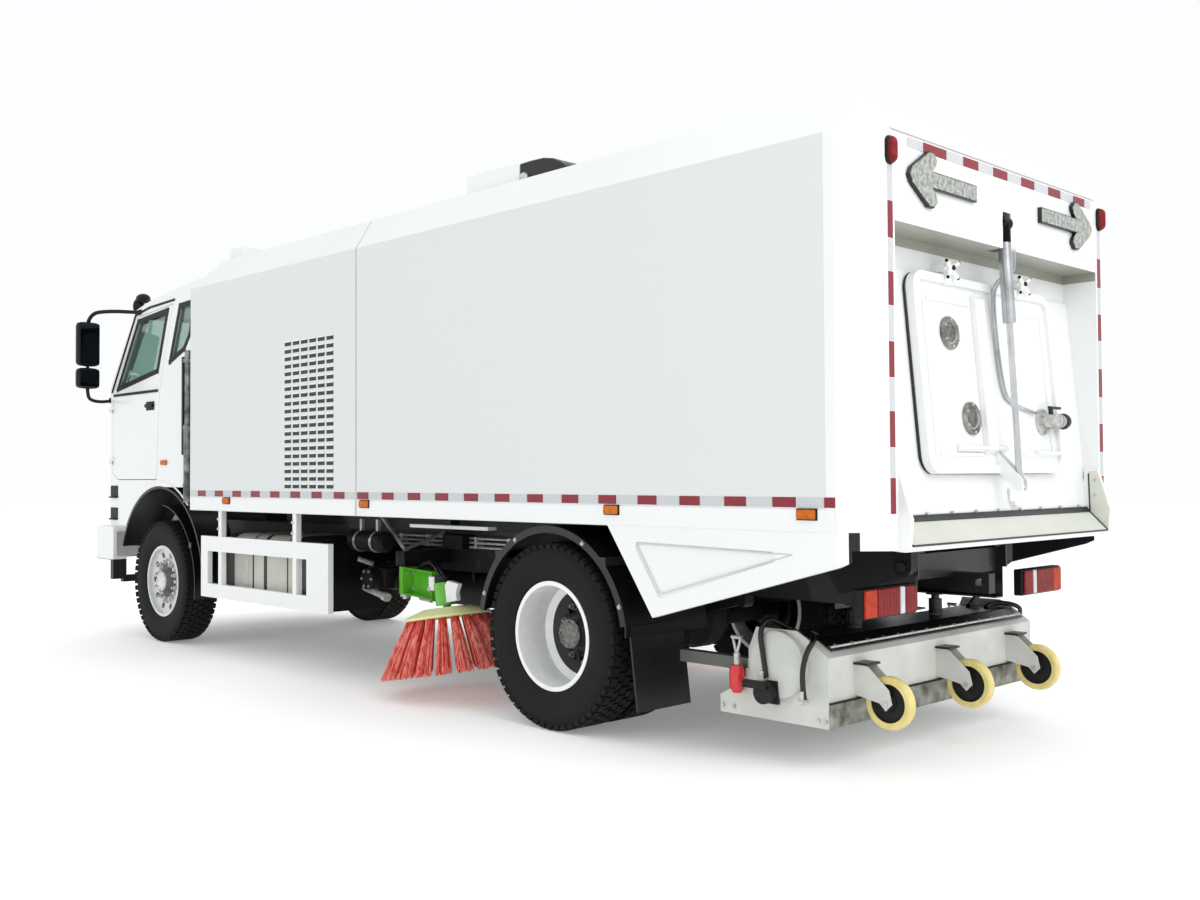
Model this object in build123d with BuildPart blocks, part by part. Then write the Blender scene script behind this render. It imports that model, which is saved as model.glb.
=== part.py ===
"""Street sweeper truck: a cab-over truck with a tipping hopper, two side brooms and a rear pick-up box.

Lengths are millimetres. +X is forward, +Y is the truck's left and +Z is up. The origin is on the
ground under the middle of the truck. Stations are lengths measured forward from the rear axle.
"""
import os
from math import asin, atan2, cos, degrees, hypot, radians, sin, tan

from build123d import *

os.makedirs("parts", exist_ok=True)

# Driving lengths of the whole truck
wheelbase = 5000
rear_overhang = 2128
front_overhang = 1253
overall_length = rear_overhang + wheelbase + front_overhang
rear_axle_x = rear_overhang - overall_length / 2
front_axle = wheelbase
tyre_radius = 508
axle_z = tyre_radius

# Clearances and overruns
seat_gap = 0.3
running_gap = 0.05
moving_gap = 8
overrun = 30

# Wheels and tyres
tyre_width = 276
tread_width = 230
shoulder_drop = 10
sidewall_low_radius = 345
sidewall_high_radius = 440
bead_radius = 286
bead_width = 208
rim_wall = 12
rim_flange_height = 12
rim_flange_width = 9
front_track_half = 1000
rear_outer_track_half = 1090
rear_twin_spacing = 325
front_disc_outset = 55
disc_thickness = 12
hand_hole_count = 10
hand_hole_radius = 26
hand_hole_circle = 222
stud_count = 10
stud_circle = 167
stud_radius = 14
stud_height = 26
hub_radius = 112
hub_cap_radius = 78
hub_cap_height = 60
drum_radius = 205
drum_wall = 12
drum_depth = 105

# Front axle and steering knuckles
kingpin_y = 820
kingpin_radius = 22
axle_boss_radius = 48
axle_boss_half_height = 60
knuckle_plate = 26
knuckle_gap = 5
knuckle_web_outset = 55
spindle_radius = 40
beam_width = 84
beam_height = 100
beam_drop = 70
beam_drop_y = 510

# Rear axle
rear_tube_radius = 65
rear_tube_half = 600
rear_stub_radius = 45
diff_radius = 178
diff_half = 125
pinion_reach = 260
pinion_radius = 85

# Chassis rails
rail_outer = 430
rail_width = 80
rail_thickness = 8
rail_low = 720
rail_high = 1000
rail_rear = -1780
rail_front = 5950
crossmember_low = 860
crossmember_high = 985
crossmember_thickness = 60
crossmember_stations = (-1720, -900, 750, 1900, 3100, 4300, 5890)

# Leaf springs
spring_half_length = 690
spring_width = 74
spring_rise = 96
spring_front_thickness = 60
spring_rear_thickness = 80
spring_tip_thickness = 24
spring_eye_radius = 30
hanger_length = 56
clamp_length = 150
clamp_plate = 16

# Cab tilt pivot
cab_pivot = 6050
cab_pivot_z = 930
cab_pivot_pin_radius = 20
cab_pivot_boss_radius = 35
cab_arm_inner = 455
cab_arm_width = 60

# Hopper tip pivot
tip_pivot = -1750
tip_pivot_z = 930
tip_pin_radius = 25
tip_boss_radius = 48
tip_plate = 16
tip_lug_width = 60

# Engine, gearbox and propshaft
engine_span = (4700, 5850)
engine_half_width = 320
engine_low = 560
engine_high = 1215
gearbox_rear = 4000
gearbox_half_width = 180
gearbox_low = 600
gearbox_high = 845
engine_foot_span = (5200, 5320)
engine_foot_z = (760, 860)
propshaft_radius = 45
propshaft_front_z = 740
pinion_z = 560

# Body section shared by the fixed housing and the hopper
body_half_width = 1250
body_low = 1123
body_side_high = 2870
body_high = 3074
roof_half_width = body_half_width - 126
body_wall = 40
runner_low = rail_high + seat_gap

# Fixed machinery housing
housing_rear = 1848
housing_front = 4210
housing_front_chamfer = 300
housing_front_chamfer_drop = 190
housing_runner_inset = 60
aux_engine_span = (2300, 3500)
aux_engine_half_width = 450
aux_engine_height = 850

# Hopper
hopper_front = 1833
hopper_rear = -2050
corner_chamfer_length = 158
corner_chamfer_width = 155
top_chamfer_length = 174
top_chamfer_drop = 198
wall_top = -1875
wall_top_z = body_high - 747
wall_foot = -1982
wall_foot_z = 1180
recess_half_width = body_half_width - 230
recess_high = body_high - 587
recess_back = -1860
hatch_opening_half = 640
hatch_opening_low = 1410
hatch_opening_high = body_high - 784
pillar_inner = 1780
skirt_wall = 45
skirt_front = -488
skirt_nose = -800
skirt_nose_z = 675
skirt_rear = -1887
skirt_rear_z = 973
pressing_depth = 6
pressing_corner = 25
pressing_corners = ((-665, 1048), (-846, 773), (-1693, 1028))
rear_rail_low = 1047
chute_foot = -2105
chute_foot_z = 1060
chute_lip = -2117
chute_thickness = 22
cheek_thickness = 20
cheek_high = 1399
slot_half = 42
slot_high = body_high - 404
header_cavity_low = body_high - 544
header_skin = 60
runner_rear = -1600

# Roof fittings
roof_box_span = (395, 890)
roof_box_y = (330, 1080)
roof_box_height = 120
roof_hood_span = (0, 392)
roof_hood_height = 110
roof_hood_lip = 35
roof_hood_crown = 0.55
front_vent_span = (3700, 3890)
front_vent_height = 90

# Air intake stack between the cab and the housing
stack_depth = 150
stack_span_y = (1010, 1160)
stack_low = 1150
stack_high = 2350
stack_radius = 55
stack_head_high = 2620

# Tailgate and its cylinder
gate_half_width = 690
gate_low = 1375
gate_high = body_high - 749
gate_corner = 90
gate_thickness = 55
gate_rim = 40
gate_pan_depth = 20
pan_sink = 4
gate_hinge = -1925
gate_hinge_z = body_high - 712
gate_hinge_y = 365
gate_knuckle_radius = 18
gate_knuckle_width = 60
gate_pin_radius = 10
gate_lug_width = 16
ram_pivot = -2030
ram_pivot_z = body_high - 454
ram_eye_radius = 28
ram_foot = -rear_overhang + ram_eye_radius
ram_foot_z = 1320
ram_barrel_radius = 32
ram_barrel_length = 500
ram_rod_radius = 16
ram_bore_depth = 400
ram_rod_overlap = 130
ram_eye_width = 40
ram_foot_plate = 14
sight_spots = ((376, 2051), (244, 1643))
sight_ring_outer = 76
sight_ring_inner = 52
sight_ring_height = 12
valve_spot = (-500, 1646)
valve_flange_radius = 66
valve_radius = 30
valve_height = 60
valve_reach = 110

# Hoist cylinders under the hopper
hoist_foot = 750
hoist_foot_z = 700
hoist_head = -550
hoist_head_z = 1055
hoist_y = 240
hoist_barrel_radius = 55
hoist_rod_radius = 32
hoist_gland_gap = 150
hoist_eye_radius = 38
hoist_eye_width = 70
hoist_neck = 120
hoist_neck_radius = 30
hoist_butt = 20
hoist_plate = 18
hoist_pin_radius = 20

# Side brooms and their arms
broom_station = 1250
broom_y = 950
broom_z = 480
broom_tilt = 9.8
broom_disc_radius = 275
broom_disc_thickness = 38
tuft_count = 20
tuft_root_radius = 235
tuft_tip_radius = 425
tuft_length = 335
tuft_radius = 34
broom_spindle_radius = 25
broom_spindle_length = 150
broom_motor_radius = 70
broom_motor_height = 110
arm_pivot = 1950
arm_pivot_y = 780
arm_pin_radius = 20
arm_eye_radius = 48
arm_low = 580
arm_high = 765
arm_wall = 40
arm_flange = 12
arm_channel_share = 0.75
arm_bar_low = 640
arm_bar_high = 700
outrigger_low = 775
outrigger_high = 870
outrigger_half_length = 50
broom_stay_radius = 14
broom_stay_head = 2270

# Rear pick-up box and casters
box_half_width = 985
box_rear = -1655
box_front = -1190
box_low = 210
box_rear_high = 534
box_high = 600
box_wall = 12
box_slope = 95
box_end_front = -1010
box_end_low_high = 295
box_end_top = 645
drum_station = -1380
drum_z = 480
drum_cover_radius = 160
drum_cover_height = 30
box_motor_station = -1345
box_motor_z = 352
box_motor_radius = 50
box_motor_length = 95
cover_sheet = 6
cover_span = (-1545, -1290)
cover_half_width = 930
guide_y = 390
guide_station = -1400
guide_radius = 22
guide_sleeve_radius = 36
guide_sleeve_low = 350
guide_sleeve_high = 690
guide_post_low = 375
drag_link_y = 940
drag_link_front = -730
drag_link_z = 455
drag_link_height = 60
caster_station = -1820
caster_z = 320
caster_radius = 125
caster_width = 50
caster_spacing = 733
caster_hub_radius = 60
caster_pin_radius = 10
fork_gap = 10
fork_plate = 8
fork_head_reach = 32
fork_head_low = 345
fork_head_high = 485

# Cab
cab_half_width = 1150
cab_wall = 45
cab_lean = 90
cab_floor_z = 1300
cab_belt_z = 2120
cab_roof_rear_z = 3010
cab_rear_reach = -570
cab_belt_reach = 1051
cab_nose_reach = 1234
cab_chin_reach = 1190
cab_nose_z = 1608
cab_skirt_low = 960
cab_skirt_front = 6165

# Corners ahead of the front axle and above the ground, seen from the side
cab_roof_corners = ((-590, 2900), (-530, cab_roof_rear_z), (370, 2920), (649, 2864))
door_front_reach = 945
door_corners = (
    (-105, 2850), (585, 2800), (925, 2140), (door_front_reach, 2040), (door_front_reach, 1420),
    (830, 1360), (40, 1360), (10, 1900),
)
door_window_corners = ((-13, 2800), (560, 2755), (850, 2170), (66, 2285))
quarter_window_corners = ((-241, 2815), (-500, 2825), (-480, 2560), (-400, 2440), (-160, 2350))

# Corners of the windscreen, seen from the front
windscreen_corners = ((-1020, 2175), (1020, 2175), (950, 2815), (-950, 2815))
windscreen_rear_reach = 500
arch_radius = 800
cab_skirt_rear = 5100
nose_chamfer_start = 5995
nose_chamfer_width = 120
door_gap = 6
door_hinge = 5955
door_hinge_out = 18
door_hinge_radius = 16
door_pin_radius = 8
door_hinge_heights = (1500, 1960)
door_hinge_height = 60
glass_inset = 18
glass_thickness = 6

# Cab interior
seat_width = 520
seat_y = 560
seat_depth = 500
seat_station = 4760
seat_base_high = 1640
seat_cushion_high = 1780
seat_back_high = 2480
seat_back_thickness = 130
dash_depth = 420
dash_low = 1630
dash_high = 2020
steering_wheel_radius = 225
steering_rim_radius = 16
steering_station = 5430
steering_z = 2120

# Mirrors and roof horns
mirror_station = 5970
mirror_depth = 100
mirror_inner = 1250
mirror_outer = 1450
mirror_low = 2380
mirror_high = 2770
mirror_small_low = 2180
mirror_small_high = 2360
mirror_arm_radius = 14
mirror_post_reach = 40
mirror_stub = 50
mirror_stub_radius = 18
mirror_top_root = (5560, 2838)
mirror_low_root = (6015, 2080)

# Bumper and front end
bumper_half_width = 1190
bumper_wall = 30
bumper_corner = 60
bumper_rear = 5830
bumper_low = 650
bumper_high = 945
bumper_inner_high = 885
bumper_front_wall = 63
bumper_stay_z = (730, 820)
bumper_stay_y = (355, 425)
lamp_inner = 800
lamp_outer = 1120
lamp_low = 700
lamp_high = 850
lamp_depth = 30
underrun_low = 450
underrun_high = 510
underrun_half = 1090
underrun_span = (5850, 5910)

# Mudguards
front_guard_radius = 645
front_guard_inner = 860
front_guard_outer = 1140
front_guard_start = 95
front_guard_sweep = 95
front_stay_angle = 150
stay_half = 22
rear_stay_angle = 45
guard_tail = 60
guard_sheet = 8
rear_guard_radius = 600
rear_guard_inner = 600
rear_guard_outer = 1225
guard_lip_height = 40
guard_lip_width = 20
rear_guard_start = 10
rear_guard_sweep = 160
flap_inner = 800
flap_outer = 1200
flap_low = 180
flap_thickness = 12

# Side guards, tanks and boxes
guard_rear = 2210
guard_front = 4060
guard_low = 455
guard_high = 925
guard_outer = body_half_width - 20
guard_thickness = 40
guard_window = (2490, 3950)
guard_window_z = (560, 810)
guard_posts = (2650, 3750)
guard_post_width = 50
fuel_span = (2500, 3850)
fuel_inner = 560
fuel_outer = 1120
fuel_low = 430
fuel_high = 950
fuel_corner = 90
battery_span = (2500, 3300)
battery_low = 520
air_tank_span = (3420, 3980)
air_tank_radius = 140
tank_foot_stations = (2700, 3150, 3700)
tank_foot_half = 30
tank_foot_sink = 5

# Lamps
tail_lamp_station = -1790
tail_lamp_depth = 60
tail_lamp_inner = 527
tail_lamp_outer = 980
tail_lamp_low = 722
tail_lamp_high = 862
tail_bar_z = (770, 830)
tow_eye_rear = -1945
tow_eye_half = 30
tow_eye_z = (780, 880)
tow_bore_radius = 25
tow_bore_station = -1895
marker_length = 112
marker_height = 50
marker_depth = 18
marker_low = 1180
housing_marker_stations = (3600,)
hopper_marker_stations = (1737, -522, -1738)
arrow_tip_y = body_half_width - 321
arrow_tail_y = arrow_tip_y - 599
arrow_z = body_high - 369
arrow_head_length = 200
arrow_head_half = 130
arrow_shaft_half = 42
arrow_thickness = 24
top_lamp_y = body_half_width - 190
top_lamp_z = body_high - 288
top_lamp_radius = 30
top_lamp_length = 90

SIDES = (1, -1)


def side_plane(y=0):
    """Side view at a given Y: its x is the station and its y is the height."""
    return Plane(origin=(rear_axle_x, y, 0), x_dir=(1, 0, 0), z_dir=(0, -1, 0))


def end_plane(station=0):
    """End view at a station: its x is Y and its y is the height."""
    return Plane(origin=(rear_axle_x + station, 0, 0), x_dir=(0, 1, 0), z_dir=(1, 0, 0))


def plan_plane(z=0):
    """Plan view at a height: its x is the station and its y is Y."""
    return Plane(origin=(rear_axle_x, 0, z), x_dir=(1, 0, 0), z_dir=(0, 0, 1))


def place(station, y, z):
    """A point from its station, Y and height."""
    return Vector(rear_axle_x + station, y, z)


def span(low, high):
    """Two limits in rising order."""
    return (min(low, high), max(low, high))


def block(x_span, y_span, z_span, mode=Mode.ADD):
    """A box between two stations, two Ys and two heights."""
    x_low, x_high = span(*x_span)
    y_low, y_high = span(*y_span)
    z_low, z_high = span(*z_span)
    with Locations(place(x_low, y_low, z_low)):
        Box(x_high - x_low, y_high - y_low, z_high - z_low,
            align=(Align.MIN, Align.MIN, Align.MIN), mode=mode)


def side_prism(points, y_span, mode=Mode.ADD):
    """An outline of (station, z) points, run between two Ys."""
    y_low, y_high = span(*y_span)
    with BuildSketch(side_plane(y_high)) as outline:
        with BuildLine():
            Polyline(*points, close=True)
        make_face()
    extrude(outline.sketch, amount=y_high - y_low, mode=mode)


def rounded_prism(points, radius, y_span, mode=Mode.ADD):
    """A side outline with rounded corners, run between two Ys."""
    y_low, y_high = span(*y_span)
    with BuildSketch(side_plane(y_high)) as outline:
        with BuildLine():
            Polyline(*points, close=True)
        make_face()
        fillet(outline.vertices(), radius)
    extrude(outline.sketch, amount=y_high - y_low, mode=mode)


def end_prism(points, x_span, mode=Mode.ADD):
    """An outline of (y, z) points, run between two stations."""
    x_low, x_high = span(*x_span)
    with BuildSketch(end_plane(x_low)) as outline:
        with BuildLine():
            Polyline(*points, close=True)
        make_face()
    extrude(outline.sketch, amount=x_high - x_low, mode=mode)


def plan_prism(points, z_span, mode=Mode.ADD):
    """An outline of (station, y) points, run between two heights."""
    z_low, z_high = span(*z_span)
    with BuildSketch(plan_plane(z_low)) as outline:
        with BuildLine():
            Polyline(*points, close=True)
        make_face()
    extrude(outline.sketch, amount=z_high - z_low, mode=mode)


def across(station, z, y_span, radius, mode=Mode.ADD):
    """A round bar or bore that lies across the truck."""
    y_low, y_high = span(*y_span)
    with BuildSketch(side_plane(y_high)) as section:
        with Locations((station, z)):
            Circle(radius)
    extrude(section.sketch, amount=y_high - y_low, mode=mode)


def upright(station, y, z_span, radius, mode=Mode.ADD):
    """A round bar or bore that stands upright."""
    z_low, z_high = span(*z_span)
    with BuildSketch(plan_plane(z_low)) as section:
        with Locations((station, y)):
            Circle(radius)
    extrude(section.sketch, amount=z_high - z_low, mode=mode)


def bar(start, end, radius, mode=Mode.ADD):
    """A round bar or bore from one point to another."""
    run = end - start
    with BuildSketch(Plane(origin=start, z_dir=run)) as section:
        Circle(radius)
    extrude(section.sketch, amount=run.length, mode=mode)


def turned(points, station, z, mode=Mode.ADD):
    """A profile of (y, radius) points, turned about a line across the truck."""
    with BuildSketch(end_plane(station)) as half:
        with BuildLine():
            Polyline(*[(y, z + radius) for y, radius in points], close=True)
        make_face()
    revolve(half.sketch, axis=Axis(tuple(place(station, 0, z)), (0, 1, 0)), mode=mode)


def save(part, label):
    """Name a finished piece and write it."""
    part.label = label
    export_step(part, f"parts/{label}.step")


# Tyres: rows of one wheel's name, station, side and the Y of each tyre's middle
rear_inner_track_half = rear_outer_track_half - rear_twin_spacing
front_tyres = (front_track_half,)
rear_tyres = (rear_inner_track_half, rear_outer_track_half)
wheel_rows = (
    ("front_left", front_axle, 1, front_tyres),
    ("front_right", front_axle, -1, front_tyres),
    ("rear_left", 0, 1, rear_tyres),
    ("rear_right", 0, -1, rear_tyres),
)


def tyre_profile(middle):
    """Half section of one tyre as (y, radius) points about its middle."""
    edge = tyre_width / 2
    tread = tread_width / 2
    bead = bead_width / 2
    bore = bead_radius + seat_gap
    right = [
        (bead, bore),
        (bead, bead_radius + rim_flange_height + 2 * seat_gap),
        (edge, sidewall_low_radius),
        (edge, sidewall_high_radius),
        (tread, tyre_radius - shoulder_drop),
        (tread - shoulder_drop, tyre_radius),
    ]
    left = [(-y, radius) for y, radius in reversed(right)]
    return [(middle + y, radius) for y, radius in right + left]


def rim_profile(middle):
    """Half section of one rim barrel with its two flanges."""
    bead = bead_width / 2 + 2 * seat_gap
    edge = bead + rim_flange_width
    flange = bead_radius + rim_flange_height
    inside = bead_radius - rim_wall
    outline = [
        (-edge, flange), (-bead, flange), (-bead, bead_radius), (bead, bead_radius),
        (bead, flange), (edge, flange), (edge, inside), (-edge, inside),
    ]
    return [(middle + y, radius) for y, radius in outline]


for wheel_name, station, side, tyres in wheel_rows:
    with BuildPart() as tyre:
        for middle in tyres:
            turned(tyre_profile(side * middle), station, axle_z)
    save(tyre.part, f"tyre_{wheel_name}")

    rear = len(tyres) > 1
    hub_bore = (rear_stub_radius if rear else spindle_radius) + running_gap
    rim_edge = bead_width / 2 + 2 * seat_gap + rim_flange_width
    if rear:
        disc_y = (rear_inner_track_half + rear_outer_track_half) / 2 - disc_thickness
        hub_outer = disc_y + disc_thickness + hub_cap_height * 2
        drum_inner = rear_inner_track_half - drum_depth
    else:
        disc_y = front_track_half + front_disc_outset
        hub_outer = disc_y + hub_cap_height
        drum_inner = kingpin_y + knuckle_web_outset + knuckle_plate
    rim_inside = bead_radius - rim_wall
    bore_end = hub_outer - hub_cap_height / 2
    with BuildPart() as rim:
        for middle in tyres:
            turned(rim_profile(side * middle), station, axle_z)
        # The disc widens into the barrel at each rim it carries
        disc_half = disc_thickness if rear else disc_thickness / 2
        cone = 2 * disc_thickness
        disc = [
            (disc_y - disc_half, hub_bore), (disc_y + disc_half, hub_bore),
            (disc_y + disc_half, hub_radius + cone),
            (disc_y + disc_half + (0 if rear else cone), rim_inside + rim_wall / 3),
            (disc_y - disc_half - (0 if rear else -cone), rim_inside + rim_wall / 3),
            (disc_y - disc_half, hub_radius + cone),
        ]
        if rear:
            outer_reach = rear_outer_track_half - rim_edge
            inner_reach = rear_inner_track_half + rim_edge
            disc = [
                (disc_y - disc_half, hub_bore), (disc_y + disc_half, hub_bore),
                (disc_y + disc_half, hub_radius + 2 * cone),
                (outer_reach + cone, rim_inside), (outer_reach + cone, rim_inside + rim_wall / 3),
                (outer_reach, rim_inside + rim_wall / 3),
                (disc_y, hub_radius + 4 * cone),
                (inner_reach, rim_inside + rim_wall / 3),
                (inner_reach - cone, rim_inside + rim_wall / 3), (inner_reach - cone, rim_inside),
                (disc_y - disc_half, hub_radius + 2 * cone),
            ]
        turned([(side * y, radius) for y, radius in disc], station, axle_z)
        hub = [
            (drum_inner + drum_wall, hub_bore), (bore_end, hub_bore), (bore_end, 0), (hub_outer, 0),
            (hub_outer, hub_cap_radius), (hub_outer - hub_cap_height, hub_radius),
            (drum_inner + drum_wall, hub_radius),
        ]
        drum_floor = min(disc_y, drum_inner + drum_depth)
        drum = [
            (drum_inner, drum_radius - drum_wall), (drum_inner, drum_radius),
            (drum_floor, drum_radius), (drum_floor, hub_bore), (drum_floor - drum_wall, hub_bore),
            (drum_floor - drum_wall, drum_radius - drum_wall),
        ]
        turned([(side * y, radius) for y, radius in hub], station, axle_z)
        turned([(side * y, radius) for y, radius in drum], station, axle_z)
        if not rear:
            # The hollow inside the drum, where the knuckle sits
            hollow = [
                (drum_inner - overrun, 0), (drum_inner + drum_wall + seat_gap, 0),
                (drum_inner + drum_wall + seat_gap, drum_radius - drum_wall),
                (drum_inner - overrun, drum_radius - drum_wall),
            ]
            turned([(side * y, radius) for y, radius in hollow], station, axle_z, mode=Mode.SUBTRACT)
        # Hand holes and wheel studs
        cut_low, cut_high = span(side * (disc_y - 2 * cone), side * (disc_y + 2 * cone))
        with BuildSketch(side_plane(cut_high)) as holes:
            with Locations((station, axle_z)):
                with PolarLocations(hand_hole_circle, hand_hole_count):
                    Circle(hand_hole_radius)
        if not rear:
            extrude(holes.sketch, amount=cut_high - cut_low, mode=Mode.SUBTRACT)
        stud_low, stud_high = span(side * disc_y, side * (disc_y + disc_half + stud_height))
        with BuildSketch(side_plane(stud_high)) as studs:
            with Locations((station, axle_z)):
                with PolarLocations(stud_circle, stud_count):
                    RegularPolygon(stud_radius, side_count=6)
        extrude(studs.sketch, amount=stud_high - stud_low)
    save(rim.part, f"rim_{wheel_name}")

# Front axle beam with a bored boss at each end for its kingpin
beam_top = axle_z - beam_drop + beam_height / 2
with BuildPart() as front_axle_beam:
    half = [
        (kingpin_y, beam_height / 2), (kingpin_y - 2 * axle_boss_radius, beam_height / 2),
        (beam_drop_y, beam_height / 2 - beam_drop),
    ]
    top_half = [(y, axle_z + z) for y, z in half]
    low_half = [(y, axle_z + z - beam_height) for y, z in half]
    beam = top_half + [(-y, z) for y, z in reversed(top_half)]
    beam += [(-y, z) for y, z in low_half] + list(reversed(low_half))
    end_prism(beam, (front_axle - beam_width / 2, front_axle + beam_width / 2))
    boss_span = (axle_z - axle_boss_half_height, axle_z + axle_boss_half_height)
    for side in SIDES:
        upright(front_axle, side * kingpin_y, boss_span, axle_boss_radius)
        upright(front_axle, side * kingpin_y, boss_span, kingpin_radius + running_gap,
                mode=Mode.SUBTRACT)
save(front_axle_beam.part, "front_axle")

# Steering knuckles: a fork on the kingpin and a spindle for the hub
for knuckle_name, side in (("knuckle_left", 1), ("knuckle_right", -1)):
    plate_inner = axle_boss_half_height + knuckle_gap
    plate_outer = plate_inner + knuckle_plate
    web_y = kingpin_y + knuckle_web_outset
    spindle_end = front_track_half + front_disc_outset + hub_cap_height / 2 - 2 * knuckle_gap
    with BuildPart() as knuckle:
        for up in SIDES:
            z_span = (axle_z + up * plate_inner, axle_z + up * plate_outer)
            upright(front_axle, side * kingpin_y, z_span, axle_boss_radius)
            block((front_axle - axle_boss_radius, front_axle + axle_boss_radius),
                  (side * kingpin_y, side * (web_y + knuckle_plate)), z_span)
        block((front_axle - axle_boss_radius, front_axle + axle_boss_radius),
              (side * web_y, side * (web_y + knuckle_plate)),
              (axle_z - plate_outer, axle_z + plate_outer))
        upright(front_axle, side * kingpin_y, (axle_z - plate_outer, axle_z + plate_outer),
                kingpin_radius)
        across(front_axle, axle_z, (side * web_y, side * spindle_end), spindle_radius)
    save(knuckle.part, knuckle_name)

# Rear axle: a tube with the differential housing and two stubs
with BuildPart() as rear_axle:
    stub_end = (rear_inner_track_half + rear_outer_track_half) / 2 + hub_cap_height
    across(0, axle_z, (-rear_tube_half, rear_tube_half), rear_tube_radius)
    across(0, axle_z, (-stub_end, stub_end), rear_stub_radius)
    diff = [
        (-diff_half * 2, rear_tube_radius / 2), (-diff_half * 2, rear_tube_radius),
        (-diff_half / 2, diff_radius), (diff_half / 2, diff_radius),
        (diff_half * 2, rear_tube_radius), (diff_half * 2, rear_tube_radius / 2),
    ]
    turned(diff, 0, axle_z)
    bar(place(0, 0, axle_z), place(pinion_reach, 0, pinion_z), pinion_radius)
save(rear_axle.part, "rear_axle")

# Chassis frame: two channels, crossmembers, and the brackets of both pivots
rail_inner = rail_outer - rail_width
with BuildPart() as frame_rails:
    for side in SIDES:
        channel = [
            (rail_inner, rail_low), (rail_outer, rail_low), (rail_outer, rail_high),
            (rail_inner, rail_high), (rail_inner, rail_high - rail_thickness),
            (rail_outer - rail_thickness, rail_high - rail_thickness),
            (rail_outer - rail_thickness, rail_low + rail_thickness),
            (rail_inner, rail_low + rail_thickness),
        ]
        end_prism([(side * y, z) for y, z in channel], (rail_rear, rail_front))
        # Tip pivot bracket and pin at the rear
        block((tip_pivot - tip_boss_radius, tip_pivot + tip_boss_radius),
              (side * rail_outer, side * (rail_outer + tip_plate)),
              (tip_pivot_z - tip_boss_radius, rail_high))
        across(tip_pivot, tip_pivot_z,
               (side * rail_outer, side * (rail_outer + tip_plate + tip_lug_width + tip_plate)),
               tip_pin_radius)
        # Cab pivot bracket and pin at the front
        block((rail_front - cab_pivot_boss_radius, cab_pivot),
              (side * rail_inner, side * rail_outer),
              (cab_pivot_z - cab_pivot_boss_radius, cab_pivot_z + cab_pivot_boss_radius))
        across(cab_pivot, cab_pivot_z, (side * rail_inner, side * rail_outer),
               cab_pivot_boss_radius)
        across(cab_pivot, cab_pivot_z,
               (side * rail_outer, side * (cab_arm_inner + cab_arm_width)), cab_pivot_pin_radius)
        # Hoist foot brackets on their crossmember
        for cheek in SIDES:
            cheek_y = hoist_y + cheek * (hoist_eye_width / 2 + seat_gap)
            cheek_out = cheek_y + cheek * hoist_plate
            block((hoist_foot - hoist_eye_radius, hoist_foot + hoist_eye_radius),
                  (side * cheek_y, side * cheek_out),
                  (hoist_foot_z, crossmember_high))
            across(hoist_foot, hoist_foot_z, (side * cheek_y, side * cheek_out), hoist_eye_radius)
        across(hoist_foot, hoist_foot_z,
               (side * (hoist_y - hoist_eye_width / 2 - hoist_plate),
                side * (hoist_y + hoist_eye_width / 2 + hoist_plate)), hoist_pin_radius)
        # Guide posts of the rear pick-up box
        upright(guide_station, side * guide_y, (guide_post_low, rail_low), guide_radius)
        block((guide_station - guide_sleeve_radius, guide_station + guide_sleeve_radius),
              (side * (guide_y - guide_sleeve_radius), side * (guide_y + guide_sleeve_radius)),
              (rail_low - rail_thickness, rail_low))
    for member in crossmember_stations:
        block((member - crossmember_thickness / 2, member + crossmember_thickness / 2),
              (-rail_outer + rail_thickness, rail_outer - rail_thickness),
              (crossmember_low, crossmember_high))
    # Towing eye on the rear crossmember
    block((tow_eye_rear, crossmember_stations[0]), (-tow_eye_half, tow_eye_half), tow_eye_z)
    across(tow_bore_station, sum(tow_eye_z) / 2, (-tow_eye_half - overrun, tow_eye_half + overrun),
           tow_bore_radius, mode=Mode.SUBTRACT)
save(frame_rails.part, "frame_rails")

# Leaf springs with their eyes, hangers and centre clamps
with BuildPart() as leaf_springs:
    # Rows of the spring's station, seat height and thickness
    spring_rows = (
        (front_axle, beam_top + seat_gap, spring_front_thickness),
        (0, axle_z + rear_tube_radius + seat_gap, spring_rear_thickness),
    )
    spring_mid = (rail_inner + rail_outer) / 2
    for middle, seat, thickness in spring_rows:
        tip = seat + spring_rise
        for side in SIDES:
            edge = side * spring_mid + spring_width / 2
            with BuildSketch(side_plane(edge)) as pack:
                with BuildLine():
                    low = ThreePointArc((middle - spring_half_length, tip), (middle, seat),
                                        (middle + spring_half_length, tip))
                    high = ThreePointArc(
                        (middle - spring_half_length, tip + spring_tip_thickness),
                        (middle, seat + thickness),
                        (middle + spring_half_length, tip + spring_tip_thickness))
                    Line(low @ 0, high @ 0)
                    Line(low @ 1, high @ 1)
                make_face()
            extrude(pack.sketch, amount=spring_width)
            y_span = (edge - spring_width, edge)
            for end in SIDES:
                eye = middle + end * spring_half_length
                eye_z = tip + spring_tip_thickness / 2
                across(eye, eye_z, y_span, spring_eye_radius)
                block((eye - hanger_length / 2, eye + hanger_length / 2), y_span,
                      (eye_z, rail_low - seat_gap))
            block((middle - clamp_length / 2, middle + clamp_length / 2),
                  (y_span[0] - clamp_plate, y_span[1] + clamp_plate),
                  (seat, seat + thickness + clamp_plate))
save(leaf_springs.part, "leaf_springs")

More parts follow.
